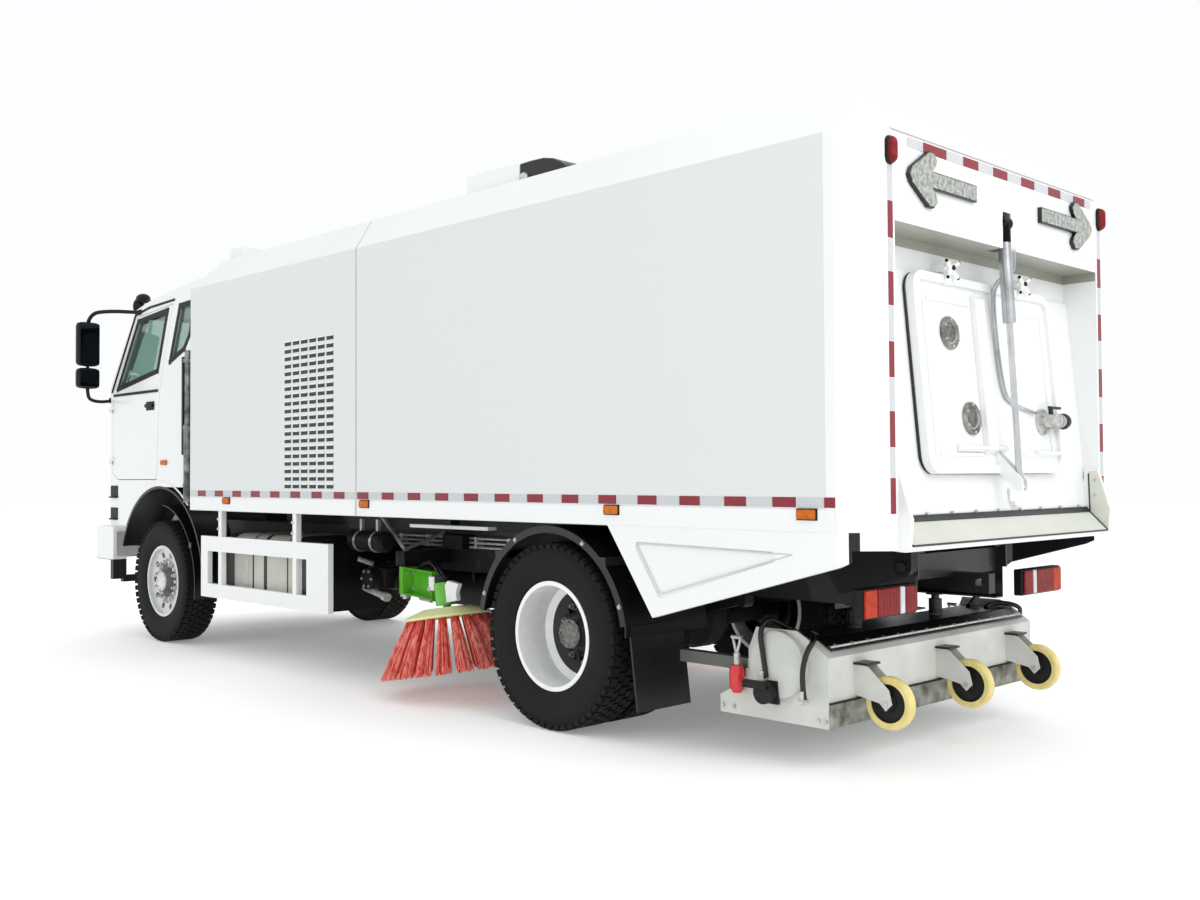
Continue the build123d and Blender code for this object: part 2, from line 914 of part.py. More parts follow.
# Engine, gearbox and propshaft under the cab
with BuildPart() as power_unit:
    block(engine_span, (-engine_half_width, engine_half_width), (engine_low, engine_high))
    block((gearbox_rear, engine_span[0]), (-gearbox_half_width, gearbox_half_width),
          (gearbox_low, gearbox_high))
    for side in SIDES:
        block(engine_foot_span, (side * engine_half_width,
                                 side * (rail_outer - rail_thickness - seat_gap)), engine_foot_z)
    pinion_face = place(pinion_reach, 0, pinion_z)
    shaft_start = place(gearbox_rear, 0, propshaft_front_z)
    shaft_run = pinion_face - shaft_start
    shaft_end = shaft_start + shaft_run * (1 - 2 * moving_gap / shaft_run.length)
    bar(shaft_start, shaft_end, propshaft_radius)
save(power_unit.part, "power_unit")


def body_section(inset):
    """Cross-section of the body as (y, z) points, drawn in by an even wall."""
    slope = hypot(body_half_width - roof_half_width, body_high - body_side_high)
    run = (slope - (body_high - body_side_high)) / (body_half_width - roof_half_width)
    drop = (slope - (body_half_width - roof_half_width)) / (body_high - body_side_high)
    side_y = body_half_width - inset
    roof_y = roof_half_width - inset * run
    side_z = body_side_high - inset * drop
    roof_z = body_high - inset
    half = [(side_y, body_low + inset), (side_y, side_z), (roof_y, roof_z)]
    return half + [(-y, z) for y, z in reversed(half)]


def runners(x_span, y_high):
    """Two long bearers that rest on the chassis rails."""
    for side in SIDES:
        block(x_span, (side * rail_inner, side * rail_outer), (runner_low, y_high))


def housing_form(inset):
    """Closed form of the fixed housing with its sloping roof front, drawn in by an even wall."""
    slope = hypot(housing_front_chamfer, housing_front_chamfer_drop)
    along = (housing_front_chamfer / slope, -housing_front_chamfer_drop / slope)
    run_in = inset + overrun
    top = (housing_front - housing_front_chamfer + along[1] * inset - along[0] * run_in,
           body_high - along[0] * inset - along[1] * run_in)
    foot = (housing_front + along[1] * inset + along[0] * run_in,
            body_high - housing_front_chamfer_drop - along[0] * inset + along[1] * run_in)
    with BuildPart() as form:
        end_prism(body_section(inset), (housing_rear + inset, housing_front - inset))
        side_prism([top, foot, (foot[0], top[1])], (-body_half_width, body_half_width),
                   mode=Mode.SUBTRACT)
    return form.part


# Fixed machinery housing ahead of the hopper
with BuildPart() as machinery_housing:
    add(housing_form(0))
    add(housing_form(body_wall), mode=Mode.SUBTRACT)
    block(front_vent_span, roof_box_y, (body_high - body_wall / 2, body_high + front_vent_height))
    runners((housing_rear + housing_runner_inset, housing_front - housing_runner_inset),
            body_low + body_wall)
save(machinery_housing.part, "machinery_housing")

# Air intake stack: a pipe with a square head, on a foot behind the cab
with BuildPart() as intake_stack:
    stack_rear = housing_front + seat_gap
    stack_middle_y = sum(stack_span_y) / 2
    upright(stack_rear + stack_radius, stack_middle_y, (stack_low, stack_high + overrun), stack_radius)
    block((stack_rear, stack_rear + stack_depth), stack_span_y, (stack_high, stack_head_high))
    block((stack_rear, stack_rear + stack_depth), stack_span_y, (stack_low, stack_low + 2 * overrun))
save(intake_stack.part, "intake_stack")

# Auxiliary engine that drives the sweeping fan, as one plain block
with BuildPart() as aux_engine:
    block(aux_engine_span, (-aux_engine_half_width, aux_engine_half_width),
          (body_low + body_wall + seat_gap, body_low + body_wall + aux_engine_height))
save(aux_engine.part, "aux_engine")

# Hopper: the tipping rear body with its recessed rear wall and chute
wall_lean = atan2(wall_top - wall_foot, wall_top_z - wall_foot_z)


def wall_station(z, inward=0):
    """Station of the leaning rear wall at a height, moved forward by a thickness."""
    return wall_foot + (z - wall_foot_z) * (wall_top - wall_foot) / (wall_top_z - wall_foot_z) \
        + inward / cos(wall_lean)


with BuildPart() as hopper_body:
    end_prism(body_section(0), (hopper_rear, hopper_front))
    # Side skirts that hang behind the rear wheels
    skirt = [
        (skirt_front, body_low + body_wall), (skirt_front, body_low), (skirt_nose, skirt_nose_z),
        (skirt_rear, skirt_rear_z), (hopper_rear, rear_rail_low),
        (hopper_rear, body_low + body_wall),
    ]
    for side in SIDES:
        side_prism(skirt, (side * (body_half_width - skirt_wall), side * body_half_width))
        foot = [
            (hopper_rear + corner_chamfer_length, body_half_width - skirt_wall),
            (hopper_rear + corner_chamfer_length, body_half_width),
            (hopper_rear, body_half_width),
            (hopper_rear, recess_half_width - cheek_thickness / 2),
            (hopper_rear + skirt_wall, recess_half_width - cheek_thickness / 2),
        ]
        plan_prism([(x, side * y) for x, y in foot], (rear_rail_low, body_low + body_wall))
        corner = [
            (hopper_rear + corner_chamfer_length, body_half_width),
            (hopper_rear, body_half_width - corner_chamfer_width),
            (hopper_rear - overrun, body_half_width - corner_chamfer_width),
            (hopper_rear - overrun, body_half_width + overrun),
            (hopper_rear + corner_chamfer_length, body_half_width + overrun),
        ]
        plan_prism([(x, side * y) for x, y in corner], (skirt_nose_z, body_high + overrun),
                   mode=Mode.SUBTRACT)
    top_chamfer = [
        (hopper_rear + top_chamfer_length, body_high),
        (hopper_rear, body_high - top_chamfer_drop),
        (hopper_rear - overrun, body_high - top_chamfer_drop),
        (hopper_rear - overrun, body_high + overrun),
        (hopper_rear + top_chamfer_length, body_high + overrun),
    ]
    side_prism(top_chamfer, (-body_half_width, body_half_width), mode=Mode.SUBTRACT)
    # Shallow pressing in each skirt
    for side in SIDES:
        rounded_prism(pressing_corners, pressing_corner,
                      (side * (body_half_width - pressing_depth), side * (body_half_width + overrun)),
                      mode=Mode.SUBTRACT)
    # Load space
    end_prism(body_section(body_wall), (-pillar_inner, hopper_front - body_wall),
              mode=Mode.SUBTRACT)
    floor_z = body_low + body_wall
    rear_space = [
        (-pillar_inner + overrun, floor_z), (wall_station(floor_z, body_wall), floor_z),
        (wall_station(wall_top_z, body_wall), wall_top_z),
        (recess_back + body_wall, recess_high), (-pillar_inner + overrun, recess_high),
    ]
    side_prism(rear_space, (-recess_half_width + body_wall, recess_half_width - body_wall),
               mode=Mode.SUBTRACT)
    header_space = [
        (-pillar_inner + overrun, header_cavity_low), (hopper_rear + header_skin, header_cavity_low),
        (hopper_rear + header_skin, body_high - top_chamfer_drop - header_skin / 2),
        (hopper_rear + top_chamfer_length + header_skin / 2, body_high - body_wall),
        (-pillar_inner + overrun, body_high - body_wall),
    ]
    side_prism(header_space, (-recess_half_width, recess_half_width), mode=Mode.SUBTRACT)
    # Recess that the tailgate stands in
    recess = [
        (hopper_rear - overrun, wall_foot_z), (wall_foot, wall_foot_z), (wall_top, wall_top_z),
        (recess_back, wall_top_z), (recess_back, recess_high), (hopper_rear - overrun, recess_high),
    ]
    side_prism(recess, (-recess_half_width, recess_half_width), mode=Mode.SUBTRACT)
    below_chute = [
        (hopper_rear - overrun, body_low), (hopper_rear - overrun, wall_foot_z + overrun),
        (wall_foot, wall_foot_z + overrun), (wall_foot, body_low),
    ]
    side_prism(below_chute, (-recess_half_width, recess_half_width), mode=Mode.SUBTRACT)
    block((hopper_rear, -pillar_inner), (-hatch_opening_half, hatch_opening_half),
          (hatch_opening_low, hatch_opening_high), mode=Mode.SUBTRACT)
    # Slot in the header for the tailgate cylinder
    block((hopper_rear - overrun, hopper_rear + header_skin + overrun), (-slot_half, slot_half),
          (recess_high - overrun, slot_high), mode=Mode.SUBTRACT)
    # Chute tray with a cheek at each side
    chute = [
        (wall_foot, wall_foot_z), (chute_foot, chute_foot_z),
        (chute_foot + chute_thickness, chute_foot_z - chute_thickness),
        (wall_foot + body_wall, body_low), (wall_foot + body_wall, wall_foot_z),
    ]
    side_prism(chute, (-recess_half_width, recess_half_width))
    cheek = [
        (wall_foot, cheek_high), (hopper_rear, cheek_high), (chute_lip, wall_foot_z),
        (chute_foot, chute_foot_z), (chute_foot + chute_thickness, chute_foot_z - chute_thickness),
        (wall_foot + body_wall, rear_rail_low), (wall_foot + body_wall, wall_foot_z),
    ]
    for side in SIDES:
        side_prism(cheek, (side * (recess_half_width - cheek_thickness), side * recess_half_width))
    runners((runner_rear, hopper_front - overrun), floor_z)
    # Tip pivot lugs
    for side in SIDES:
        lug_y = (side * (rail_outer + tip_plate + seat_gap),
                 side * (rail_outer + tip_plate + tip_lug_width))
        block((tip_pivot - tip_boss_radius, tip_pivot + tip_boss_radius), lug_y,
              (tip_pivot_z, floor_z))
        across(tip_pivot, tip_pivot_z, lug_y, tip_boss_radius)
        across(tip_pivot, tip_pivot_z, lug_y, tip_pin_radius + running_gap, mode=Mode.SUBTRACT)
        # Hoist head plates under the floor
        for cheek_side in SIDES:
            plate_y = hoist_y + cheek_side * (hoist_eye_width / 2 + seat_gap)
            block((hoist_head - hoist_eye_radius, hoist_head + hoist_eye_radius),
                  (side * plate_y, side * (plate_y + cheek_side * hoist_plate)),
                  (hoist_head_z - hoist_eye_radius, floor_z))
    # Tailgate hinge lugs on the back panel
    for side in SIDES:
        for ear in SIDES:
            ear_y = gate_hinge_y + ear * (gate_knuckle_width / 2 + seat_gap)
            ear_span = (side * ear_y, side * (ear_y + ear * gate_lug_width))
            block((gate_hinge, recess_back + body_wall), ear_span,
                  (gate_hinge_z - gate_knuckle_radius, gate_hinge_z + gate_knuckle_radius))
            across(gate_hinge, gate_hinge_z, ear_span, gate_knuckle_radius)
            across(gate_hinge, gate_hinge_z, ear_span, gate_pin_radius + running_gap,
                   mode=Mode.SUBTRACT)
save(hopper_body.part, "hopper_body")

# Roof fittings of the hopper: an inlet box and a curved hood behind it
with BuildPart() as hopper_roof:
    roof_seat = body_high + seat_gap
    block(roof_box_span, roof_box_y, (roof_seat, body_high + roof_box_height))
    hood_rear, hood_front = roof_hood_span
    hood_top = body_high + roof_hood_height
    with BuildSketch(side_plane(roof_box_y[1])) as hood:
        with BuildLine():
            Polyline((hood_rear, body_high + roof_hood_lip), (hood_rear, roof_seat), (hood_front, roof_seat),
                     (hood_front, hood_top))
            ThreePointArc((hood_front, hood_top), (hood_front * roof_hood_crown, hood_top - roof_hood_lip / 2),
                          (hood_rear, body_high + roof_hood_lip))
        make_face()
    extrude(hood.sketch, amount=roof_box_y[1] - roof_box_y[0])
save(hopper_roof.part, "hopper_roof")

# Tailgate: a pressed pan on the leaning wall, hung from two knuckles
wall_out = Vector(-cos(wall_lean), 0, sin(wall_lean))
wall_mid_z = (gate_low + gate_high) / 2
wall_face = Plane(origin=place(wall_station(wall_mid_z), 0, wall_mid_z), x_dir=(0, -1, 0),
                  z_dir=wall_out)
gate_height = (gate_high - gate_low) / cos(wall_lean)


def gate_spot(y, z):
    """Plane on the tailgate's sunken face at a Y and a height, facing out, sunk a little into it."""
    face_middle = place(wall_station(z), y, z) + wall_out * (gate_thickness - gate_pan_depth - pan_sink)
    return Plane(origin=face_middle, x_dir=(0, -1, 0), z_dir=wall_out)


with BuildPart() as tailgate:
    with BuildSketch(wall_face.offset(seat_gap)) as gate_plate:
        RectangleRounded(2 * gate_half_width, gate_height, gate_corner)
    extrude(gate_plate.sketch, amount=gate_thickness)
    with BuildSketch(wall_face.offset(gate_thickness - gate_pan_depth)) as gate_pan:
        RectangleRounded(2 * (gate_half_width - gate_rim), gate_height - 2 * gate_rim,
                         gate_corner - gate_rim)
    extrude(gate_pan.sketch, amount=gate_pan_depth + overrun, mode=Mode.SUBTRACT)
    for side in SIDES:
        middle_y = side * gate_hinge_y
        knuckle_y = (middle_y - gate_knuckle_width / 2, middle_y + gate_knuckle_width / 2)
        arm = [
            (gate_hinge - gate_knuckle_radius, gate_hinge_z),
            (gate_hinge + gate_knuckle_radius, gate_hinge_z),
            (wall_station(gate_high) - gate_thickness / 4, gate_high - gate_rim),
            (wall_station(gate_high) - gate_thickness, gate_high - gate_rim),
        ]
        side_prism(arm, knuckle_y)
        across(gate_hinge, gate_hinge_z, knuckle_y, gate_knuckle_radius)
        across(gate_hinge, gate_hinge_z,
               (knuckle_y[0] - gate_lug_width, knuckle_y[1] + gate_lug_width), gate_pin_radius)
    # Two sight glass rings and a drain valve on the pan
    for spot_y, spot_z in sight_spots:
        with BuildSketch(gate_spot(spot_y, spot_z)) as sight_ring:
            Circle(sight_ring_outer)
            Circle(sight_ring_inner, mode=Mode.SUBTRACT)
        extrude(sight_ring.sketch, amount=sight_ring_height + pan_sink)
    valve_plane = gate_spot(*valve_spot)
    valve_foot = valve_plane.origin
    bar(valve_foot, valve_foot + wall_out * (sight_ring_height + pan_sink), valve_flange_radius)
    valve_head = valve_foot + wall_out * valve_height
    bar(valve_foot, valve_head + wall_out * valve_radius, valve_radius)
    bar(valve_head, valve_head - Vector(0, valve_reach, 0), valve_radius)
    # Foot bracket of the cylinder
    for cheek_side in SIDES:
        foot_y = cheek_side * (ram_eye_width / 2 + seat_gap)
        foot_plate = [
            (wall_station(gate_low) - gate_thickness / 2, gate_low + gate_rim / 2),
            (wall_station(gate_low) - gate_thickness / 2, gate_low + 4 * ram_eye_radius),
            (ram_foot - ram_eye_radius, ram_foot_z + ram_eye_radius),
            (ram_foot - ram_eye_radius, ram_foot_z - ram_eye_radius),
            (ram_foot, ram_foot_z - ram_eye_radius),
        ]
        side_prism(foot_plate, (foot_y, foot_y + cheek_side * ram_foot_plate))
save(tailgate.part, "tailgate")

# Tailgate cylinder: its barrel hangs in the header slot and its rod ends at the gate's foot
ram_top = place(ram_pivot, 0, ram_pivot_z)
ram_bottom = place(ram_foot, 0, ram_foot_z)
ram_run = (ram_bottom - ram_top).normalized()
with BuildPart() as gate_cylinder:
    barrel_end = ram_top + ram_run * ram_barrel_length
    bar(ram_top, barrel_end, ram_barrel_radius)
    across(ram_pivot, ram_pivot_z, (-slot_half + seat_gap, slot_half - seat_gap),
           ram_barrel_radius)
    bar(barrel_end - ram_run * ram_bore_depth, barrel_end + ram_run * overrun,
        ram_rod_radius + running_gap,
        mode=Mode.SUBTRACT)
save(gate_cylinder.part, "gate_cylinder")

with BuildPart() as gate_rod:
    bar(barrel_end - ram_run * ram_rod_overlap, ram_bottom, ram_rod_radius)
    across(ram_foot, ram_foot_z, (-ram_eye_width / 2, ram_eye_width / 2), ram_eye_radius)
save(gate_rod.part, "gate_rod")

# Hoist cylinders: a pair of barrels on the chassis and a pair of rods under the hopper
hoist_bottom = place(hoist_foot, 0, hoist_foot_z)
hoist_top = place(hoist_head, 0, hoist_head_z)
hoist_length = (hoist_top - hoist_bottom).length
hoist_run = (hoist_top - hoist_bottom).normalized()
gland = hoist_length - hoist_gland_gap
with BuildPart() as hoist_barrels:
    for side in SIDES:
        start = hoist_bottom + Vector(0, side * hoist_y, 0)
        eye_y = (side * (hoist_y - hoist_eye_width / 2), side * (hoist_y + hoist_eye_width / 2))
        bar(start, start + hoist_run * (hoist_neck + hoist_butt), hoist_neck_radius)
        bar(start + hoist_run * hoist_neck, start + hoist_run * gland, hoist_barrel_radius)
        across(hoist_foot, hoist_foot_z, eye_y, hoist_eye_radius)
        across(hoist_foot, hoist_foot_z, eye_y, hoist_pin_radius + running_gap,
               mode=Mode.SUBTRACT)
        bar(start + hoist_run * (hoist_neck + hoist_butt), start + hoist_run * (gland + overrun),
            hoist_rod_radius + running_gap, mode=Mode.SUBTRACT)
save(hoist_barrels.part, "hoist_barrels")

with BuildPart() as hoist_rods:
    for side in SIDES:
        start = hoist_bottom + Vector(0, side * hoist_y, 0)
        eye_y = (side * (hoist_y - hoist_eye_width / 2), side * (hoist_y + hoist_eye_width / 2))
        bar(start + hoist_run * (hoist_neck + hoist_butt + moving_gap),
            start + hoist_run * hoist_length, hoist_rod_radius)
        across(hoist_head, hoist_head_z, eye_y, hoist_eye_radius)
save(hoist_rods.part, "hoist_rods")

# Side brooms: a tilted disc with flaring tufts, on an arm that swings out
tilt = radians(broom_tilt)
broom_axis = Vector(sin(tilt), 0, cos(tilt))
for broom_side, side in (("left", 1), ("right", -1)):
    centre = place(broom_station, side * broom_y, broom_z)
    disc_plane = Plane(origin=centre, x_dir=(0, 1, 0), z_dir=broom_axis)
    with BuildPart() as broom:
        with BuildSketch(disc_plane) as disc_ring:
            Circle(broom_disc_radius)
            Circle(broom_spindle_radius + running_gap, mode=Mode.SUBTRACT)
        extrude(disc_ring.sketch, amount=broom_disc_thickness)
        for turn in range(tuft_count):
            angle = radians(360 * turn / tuft_count)
            out = disc_plane.x_dir * cos(angle) + disc_plane.y_dir * sin(angle)
            root = centre + out * tuft_root_radius + broom_axis * broom_disc_thickness / 2
            tip = centre + out * tuft_tip_radius - broom_axis * tuft_length
            with BuildSketch(Plane(origin=root, x_dir=out.cross(broom_axis), z_dir=tip - root)) as tuft:
                RegularPolygon(tuft_radius, side_count=6)
            extrude(tuft.sketch, amount=(tip - root).length)
    save(broom.part, f"broom_{broom_side}")

    spindle_top = centre + broom_axis * (broom_disc_thickness + broom_spindle_length)
    with BuildPart() as broom_arm:
        upright(arm_pivot, side * arm_pivot_y, (arm_low, arm_high), arm_eye_radius)
        start = place(arm_pivot, side * arm_pivot_y, 0)
        end = place(broom_station, side * broom_y, 0)
        run = (end - start).normalized()
        reach = (end - start).length
        channel_reach = reach * arm_channel_share
        # Deep channel, open on its outer side
        with BuildSketch(Plane(origin=start + Vector(0, 0, arm_low), x_dir=run)) as channel:
            with Locations((channel_reach / 2, 0)):
                Rectangle(channel_reach, 2 * arm_wall)
        extrude(channel.sketch, amount=arm_high - arm_low)
        with BuildSketch(Plane(origin=start + Vector(0, 0, arm_low + arm_flange), x_dir=run)) as pocket:
            with Locations(((channel_reach + arm_eye_radius) / 2, -side * arm_flange)):
                Rectangle(channel_reach - arm_eye_radius - 2 * arm_flange, 2 * arm_wall)
        extrude(pocket.sketch, amount=arm_high - arm_low - 2 * arm_flange, mode=Mode.SUBTRACT)
        # Slim bar on to the motor
        with BuildSketch(Plane(origin=start + Vector(0, 0, arm_bar_low), x_dir=run)) as slim_bar:
            with Locations(((channel_reach + reach) / 2 - arm_flange / 2, 0)):
                Rectangle(reach - channel_reach + arm_flange, arm_wall)
        extrude(slim_bar.sketch, amount=arm_bar_high - arm_bar_low)
        bar(centre + broom_axis * (broom_disc_thickness + moving_gap + arm_wall),
            centre + broom_axis * (broom_disc_thickness + broom_motor_height + 2 * arm_wall),
            broom_motor_radius)
        bar(centre + broom_axis * seat_gap, spindle_top, broom_spindle_radius)
        upright(arm_pivot, side * arm_pivot_y, (arm_low - overrun, arm_high + overrun),
                arm_pin_radius + running_gap, mode=Mode.SUBTRACT)
    save(broom_arm.part, f"broom_arm_{broom_side}")

# Broom outriggers bolted to the rails, with the pivot pins of the arms
with BuildPart() as broom_outriggers:
    for side in SIDES:
        block((arm_pivot - outrigger_half_length, arm_pivot + outrigger_half_length),
              (side * (rail_outer + seat_gap), side * (arm_pivot_y + outrigger_half_length)),
              (outrigger_low, outrigger_high))
        upright(arm_pivot, side * arm_pivot_y, (arm_low, outrigger_low), arm_pin_radius)
save(broom_outriggers.part, "broom_outriggers")

# Stays from the fixed housing's floor down to the broom outriggers
with BuildPart() as broom_stays:
    stay_top = body_low - seat_gap
    stay_foot = outrigger_high + seat_gap
    for side in SIDES:
        stay_low_end = place(arm_pivot, side * arm_pivot_y, stay_foot)
        stay_high_end = place(broom_stay_head, side * arm_pivot_y, stay_top)
        stay_run = (stay_high_end - stay_low_end).normalized()
        bar(stay_low_end - stay_run * overrun, stay_high_end + stay_run * overrun, broom_stay_radius)
        for station, z_low in ((arm_pivot, stay_foot - 2 * overrun), (broom_stay_head, stay_top)):
            block((station - 3 * overrun, station + 3 * overrun),
                  (side * (arm_pivot_y - 2 * overrun), side * (arm_pivot_y + 2 * overrun)),
                  (z_low, z_low + 2 * overrun), mode=Mode.SUBTRACT)
save(broom_stays.part, "broom_stays")

# Rear pick-up box: an open-bottomed hood with end plates, guide sleeves and caster forks
with BuildPart() as pickup_box:
    hood_out = [
        (box_rear, box_low), (box_rear, box_rear_high), (box_rear + box_slope, box_high),
        (box_front - box_slope, box_high), (box_front, box_rear_high), (box_front, box_low),
    ]
    hood_in = [
        (box_rear + box_wall, box_low - overrun), (box_rear + box_wall, box_rear_high - box_wall),
        (box_rear + box_slope + box_wall, box_high - box_wall),
        (box_front - box_slope - box_wall, box_high - box_wall),
        (box_front - box_wall, box_rear_high - box_wall), (box_front - box_wall, box_low - overrun),
    ]
    side_prism(hood_out, (-box_half_width, box_half_width))
    end_plate = [
        (box_end_front, box_low), (box_end_front, box_end_low_high),
        (box_front, box_end_low_high + box_slope), (box_front, box_rear_high),
        (box_front - box_slope / 2, box_end_top), (box_front - 3 * box_slope, box_end_top),
        (box_rear + box_slope, box_high), (box_rear, box_rear_high), (box_rear, box_low),
    ]
    for side in SIDES:
        side_prism(end_plate, (side * (box_half_width - box_wall), side * box_half_width))
    inner_half = box_half_width - box_wall
    for side in SIDES:
        across(drum_station, drum_z,
               (side * inner_half, side * (box_half_width + drum_cover_height)), drum_cover_radius)
        across(box_motor_station, box_motor_z,
               (side * inner_half, side * (box_half_width + box_motor_length)), box_motor_radius)
    block(cover_span, (-cover_half_width, cover_half_width), (box_high - box_wall, box_high + cover_sheet))
    side_prism(hood_in, (-inner_half, inner_half), mode=Mode.SUBTRACT)
    for side in SIDES:
        upright(guide_station, side * guide_y, (guide_sleeve_low, guide_sleeve_high),
                guide_sleeve_radius)
        upright(guide_station, side * guide_y, (guide_sleeve_low, guide_sleeve_high),
                guide_radius + running_gap, mode=Mode.SUBTRACT)
        link_y = (side * (drag_link_y - drag_link_height / 2),
                  side * (drag_link_y + drag_link_height / 2))
        block((box_front - box_wall, drag_link_front), link_y,
              (drag_link_z - drag_link_height / 2, drag_link_z + drag_link_height / 2))
    # Swan-neck forks for the casters
    for middle_y in (-caster_spacing, 0, caster_spacing):
        head_half = caster_width / 2 + fork_gap + fork_plate
        block((box_rear - fork_head_reach, box_rear), (middle_y - head_half, middle_y + head_half),
              (fork_head_low, fork_head_high))
        fork = [
            (box_rear, fork_head_high), (box_rear - 2 * fork_head_reach, fork_head_high),
            (caster_station - fork_head_reach / 2, caster_z + 2 * fork_head_reach),
            (caster_station - fork_head_reach, caster_z), (caster_station, caster_z - fork_head_reach),
            (caster_station + fork_head_reach, caster_z), (box_rear, fork_head_low),
        ]
        for cheek_side in SIDES:
            inner = middle_y + cheek_side * (caster_width / 2 + fork_gap)
            side_prism(fork, (inner, inner + cheek_side * fork_plate))
        across(caster_station, caster_z, (middle_y - head_half, middle_y + head_half),
               caster_pin_radius)
save(pickup_box.part, "pickup_box")

for caster_name, middle_y in (("left", caster_spacing), ("middle", 0), ("right", -caster_spacing)):
    with BuildPart() as caster:
        caster_y = (middle_y - caster_width / 2, middle_y + caster_width / 2)
        across(caster_station, caster_z, caster_y, caster_radius)
        across(caster_station, caster_z, caster_y, caster_pin_radius + running_gap,
               mode=Mode.SUBTRACT)
    save(caster.part, f"caster_{caster_name}")


# Cab: one shell, from which the doors and glass are cut
def from_axle(corners):
    """Corners given ahead of the front axle, as (station, z) points."""
    return [(front_axle + reach, z) for reach, z in corners]


cab_rear = front_axle + cab_rear_reach
cab_outline = from_axle(
    ((cab_rear_reach, cab_floor_z), *cab_roof_corners, (cab_belt_reach, cab_belt_z),
     (cab_nose_reach, cab_nose_z), (cab_chin_reach, cab_floor_z)))
door_outline = from_axle(door_corners)
door_window = from_axle(door_window_corners)
quarter_window = from_axle(quarter_window_corners)
window_reach = (cab_half_width - 4 * cab_wall, cab_half_width + overrun)
windscreen_reach = (front_axle + windscreen_rear_reach, front_axle + front_overhang)


def nose_corner(inset):
    """Plan of what is cut off the cab's left front corner, drawn in by an even thickness."""
    nose = front_axle + cab_nose_reach
    turn = atan2(nose_chamfer_width, nose - nose_chamfer_start)
    rear_x = nose_chamfer_start - inset * sin(turn)
    rear_y = cab_half_width - inset * cos(turn)
    back, ahead = 2 * overrun, nose - nose_chamfer_start + 2 * overrun
    return [
        (rear_x - back, rear_y + back * tan(turn)), (rear_x + ahead, rear_y - ahead * tan(turn)),
        (rear_x + ahead, cab_half_width + 3 * overrun), (rear_x - back, cab_half_width + 3 * overrun),
    ]


def cut_nose(inset):
    """Cuts both front corners off, drawn in by an even thickness."""
    for side in SIDES:
        plan_prism([(x, side * y) for x, y in nose_corner(inset)],
                   (cab_skirt_low - 2 * overrun, cab_roof_rear_z + overrun), mode=Mode.SUBTRACT)


def cab_envelope(inset):
    """The cab's closed outer form, drawn in by an even thickness."""
    half = cab_half_width - inset
    with BuildPart() as envelope:
        with BuildSketch(side_plane(half)) as profile:
            with BuildLine():
                Polyline(*cab_outline, close=True)
            make_face()
            if inset:
                offset(amount=-inset, kind=Kind.INTERSECTION)
        extrude(profile.sketch, amount=2 * half)
        for side in SIDES:
            lean = [
                (half, cab_belt_z), (half - cab_lean, cab_roof_rear_z),
                (half - cab_lean, cab_roof_rear_z + overrun), (half + overrun, cab_roof_rear_z + overrun),
                (half + overrun, cab_belt_z),
            ]
            end_prism([(side * y, z) for y, z in lean], (cab_rear - 2 * overrun, front_axle + front_overhang),
                      mode=Mode.SUBTRACT)
        cut_nose(inset)
    return envelope.part


def shrunk_prism(points, y_span, gap, mode):
    """A side outline drawn in by a gap and run between two Ys."""
    y_low, y_high = span(*y_span)
    with BuildSketch(side_plane(y_high)) as outline:
        with BuildLine():
            Polyline(*points, close=True)
        make_face()
        offset(amount=-gap, kind=Kind.INTERSECTION)
    extrude(outline.sketch, amount=y_high - y_low, mode=mode)


def windscreen_prism(gap, mode):
    """The windscreen's outline drawn in by a gap and run through the cab's front."""
    with BuildSketch(end_plane(windscreen_reach[0])) as outline:
        with BuildLine():
            Polyline(*windscreen_corners, close=True)
        make_face()
        if gap:
            offset(amount=-gap, kind=Kind.INTERSECTION)
    extrude(outline.sketch, amount=windscreen_reach[1] - windscreen_reach[0], mode=mode)


cab_outer = cab_envelope(0)
cab_inner = cab_envelope(cab_wall)
with BuildPart() as cab_skin:
    add(cab_outer)
    add(cab_inner, mode=Mode.SUBTRACT)

# Front skirt below the floor, open underneath
with BuildPart() as skirt_solid:
    skirt_front_top = front_axle + cab_chin_reach
    skirt_outline = [
        (cab_skirt_rear, cab_floor_z + cab_wall), (cab_skirt_rear, cab_skirt_low),
        (cab_skirt_front, cab_skirt_low), (skirt_front_top, cab_floor_z),
        (skirt_front_top, cab_floor_z + cab_wall),
    ]
    side_prism(skirt_outline, (-cab_half_width, cab_half_width))
    cut_nose(0)

with BuildPart() as skirt_space:
    block((cab_skirt_rear - overrun, cab_skirt_front - cab_wall),
          (-cab_half_width + cab_wall, cab_half_width - cab_wall),
          (cab_skirt_low - overrun, cab_floor_z))
    cut_nose(cab_wall)

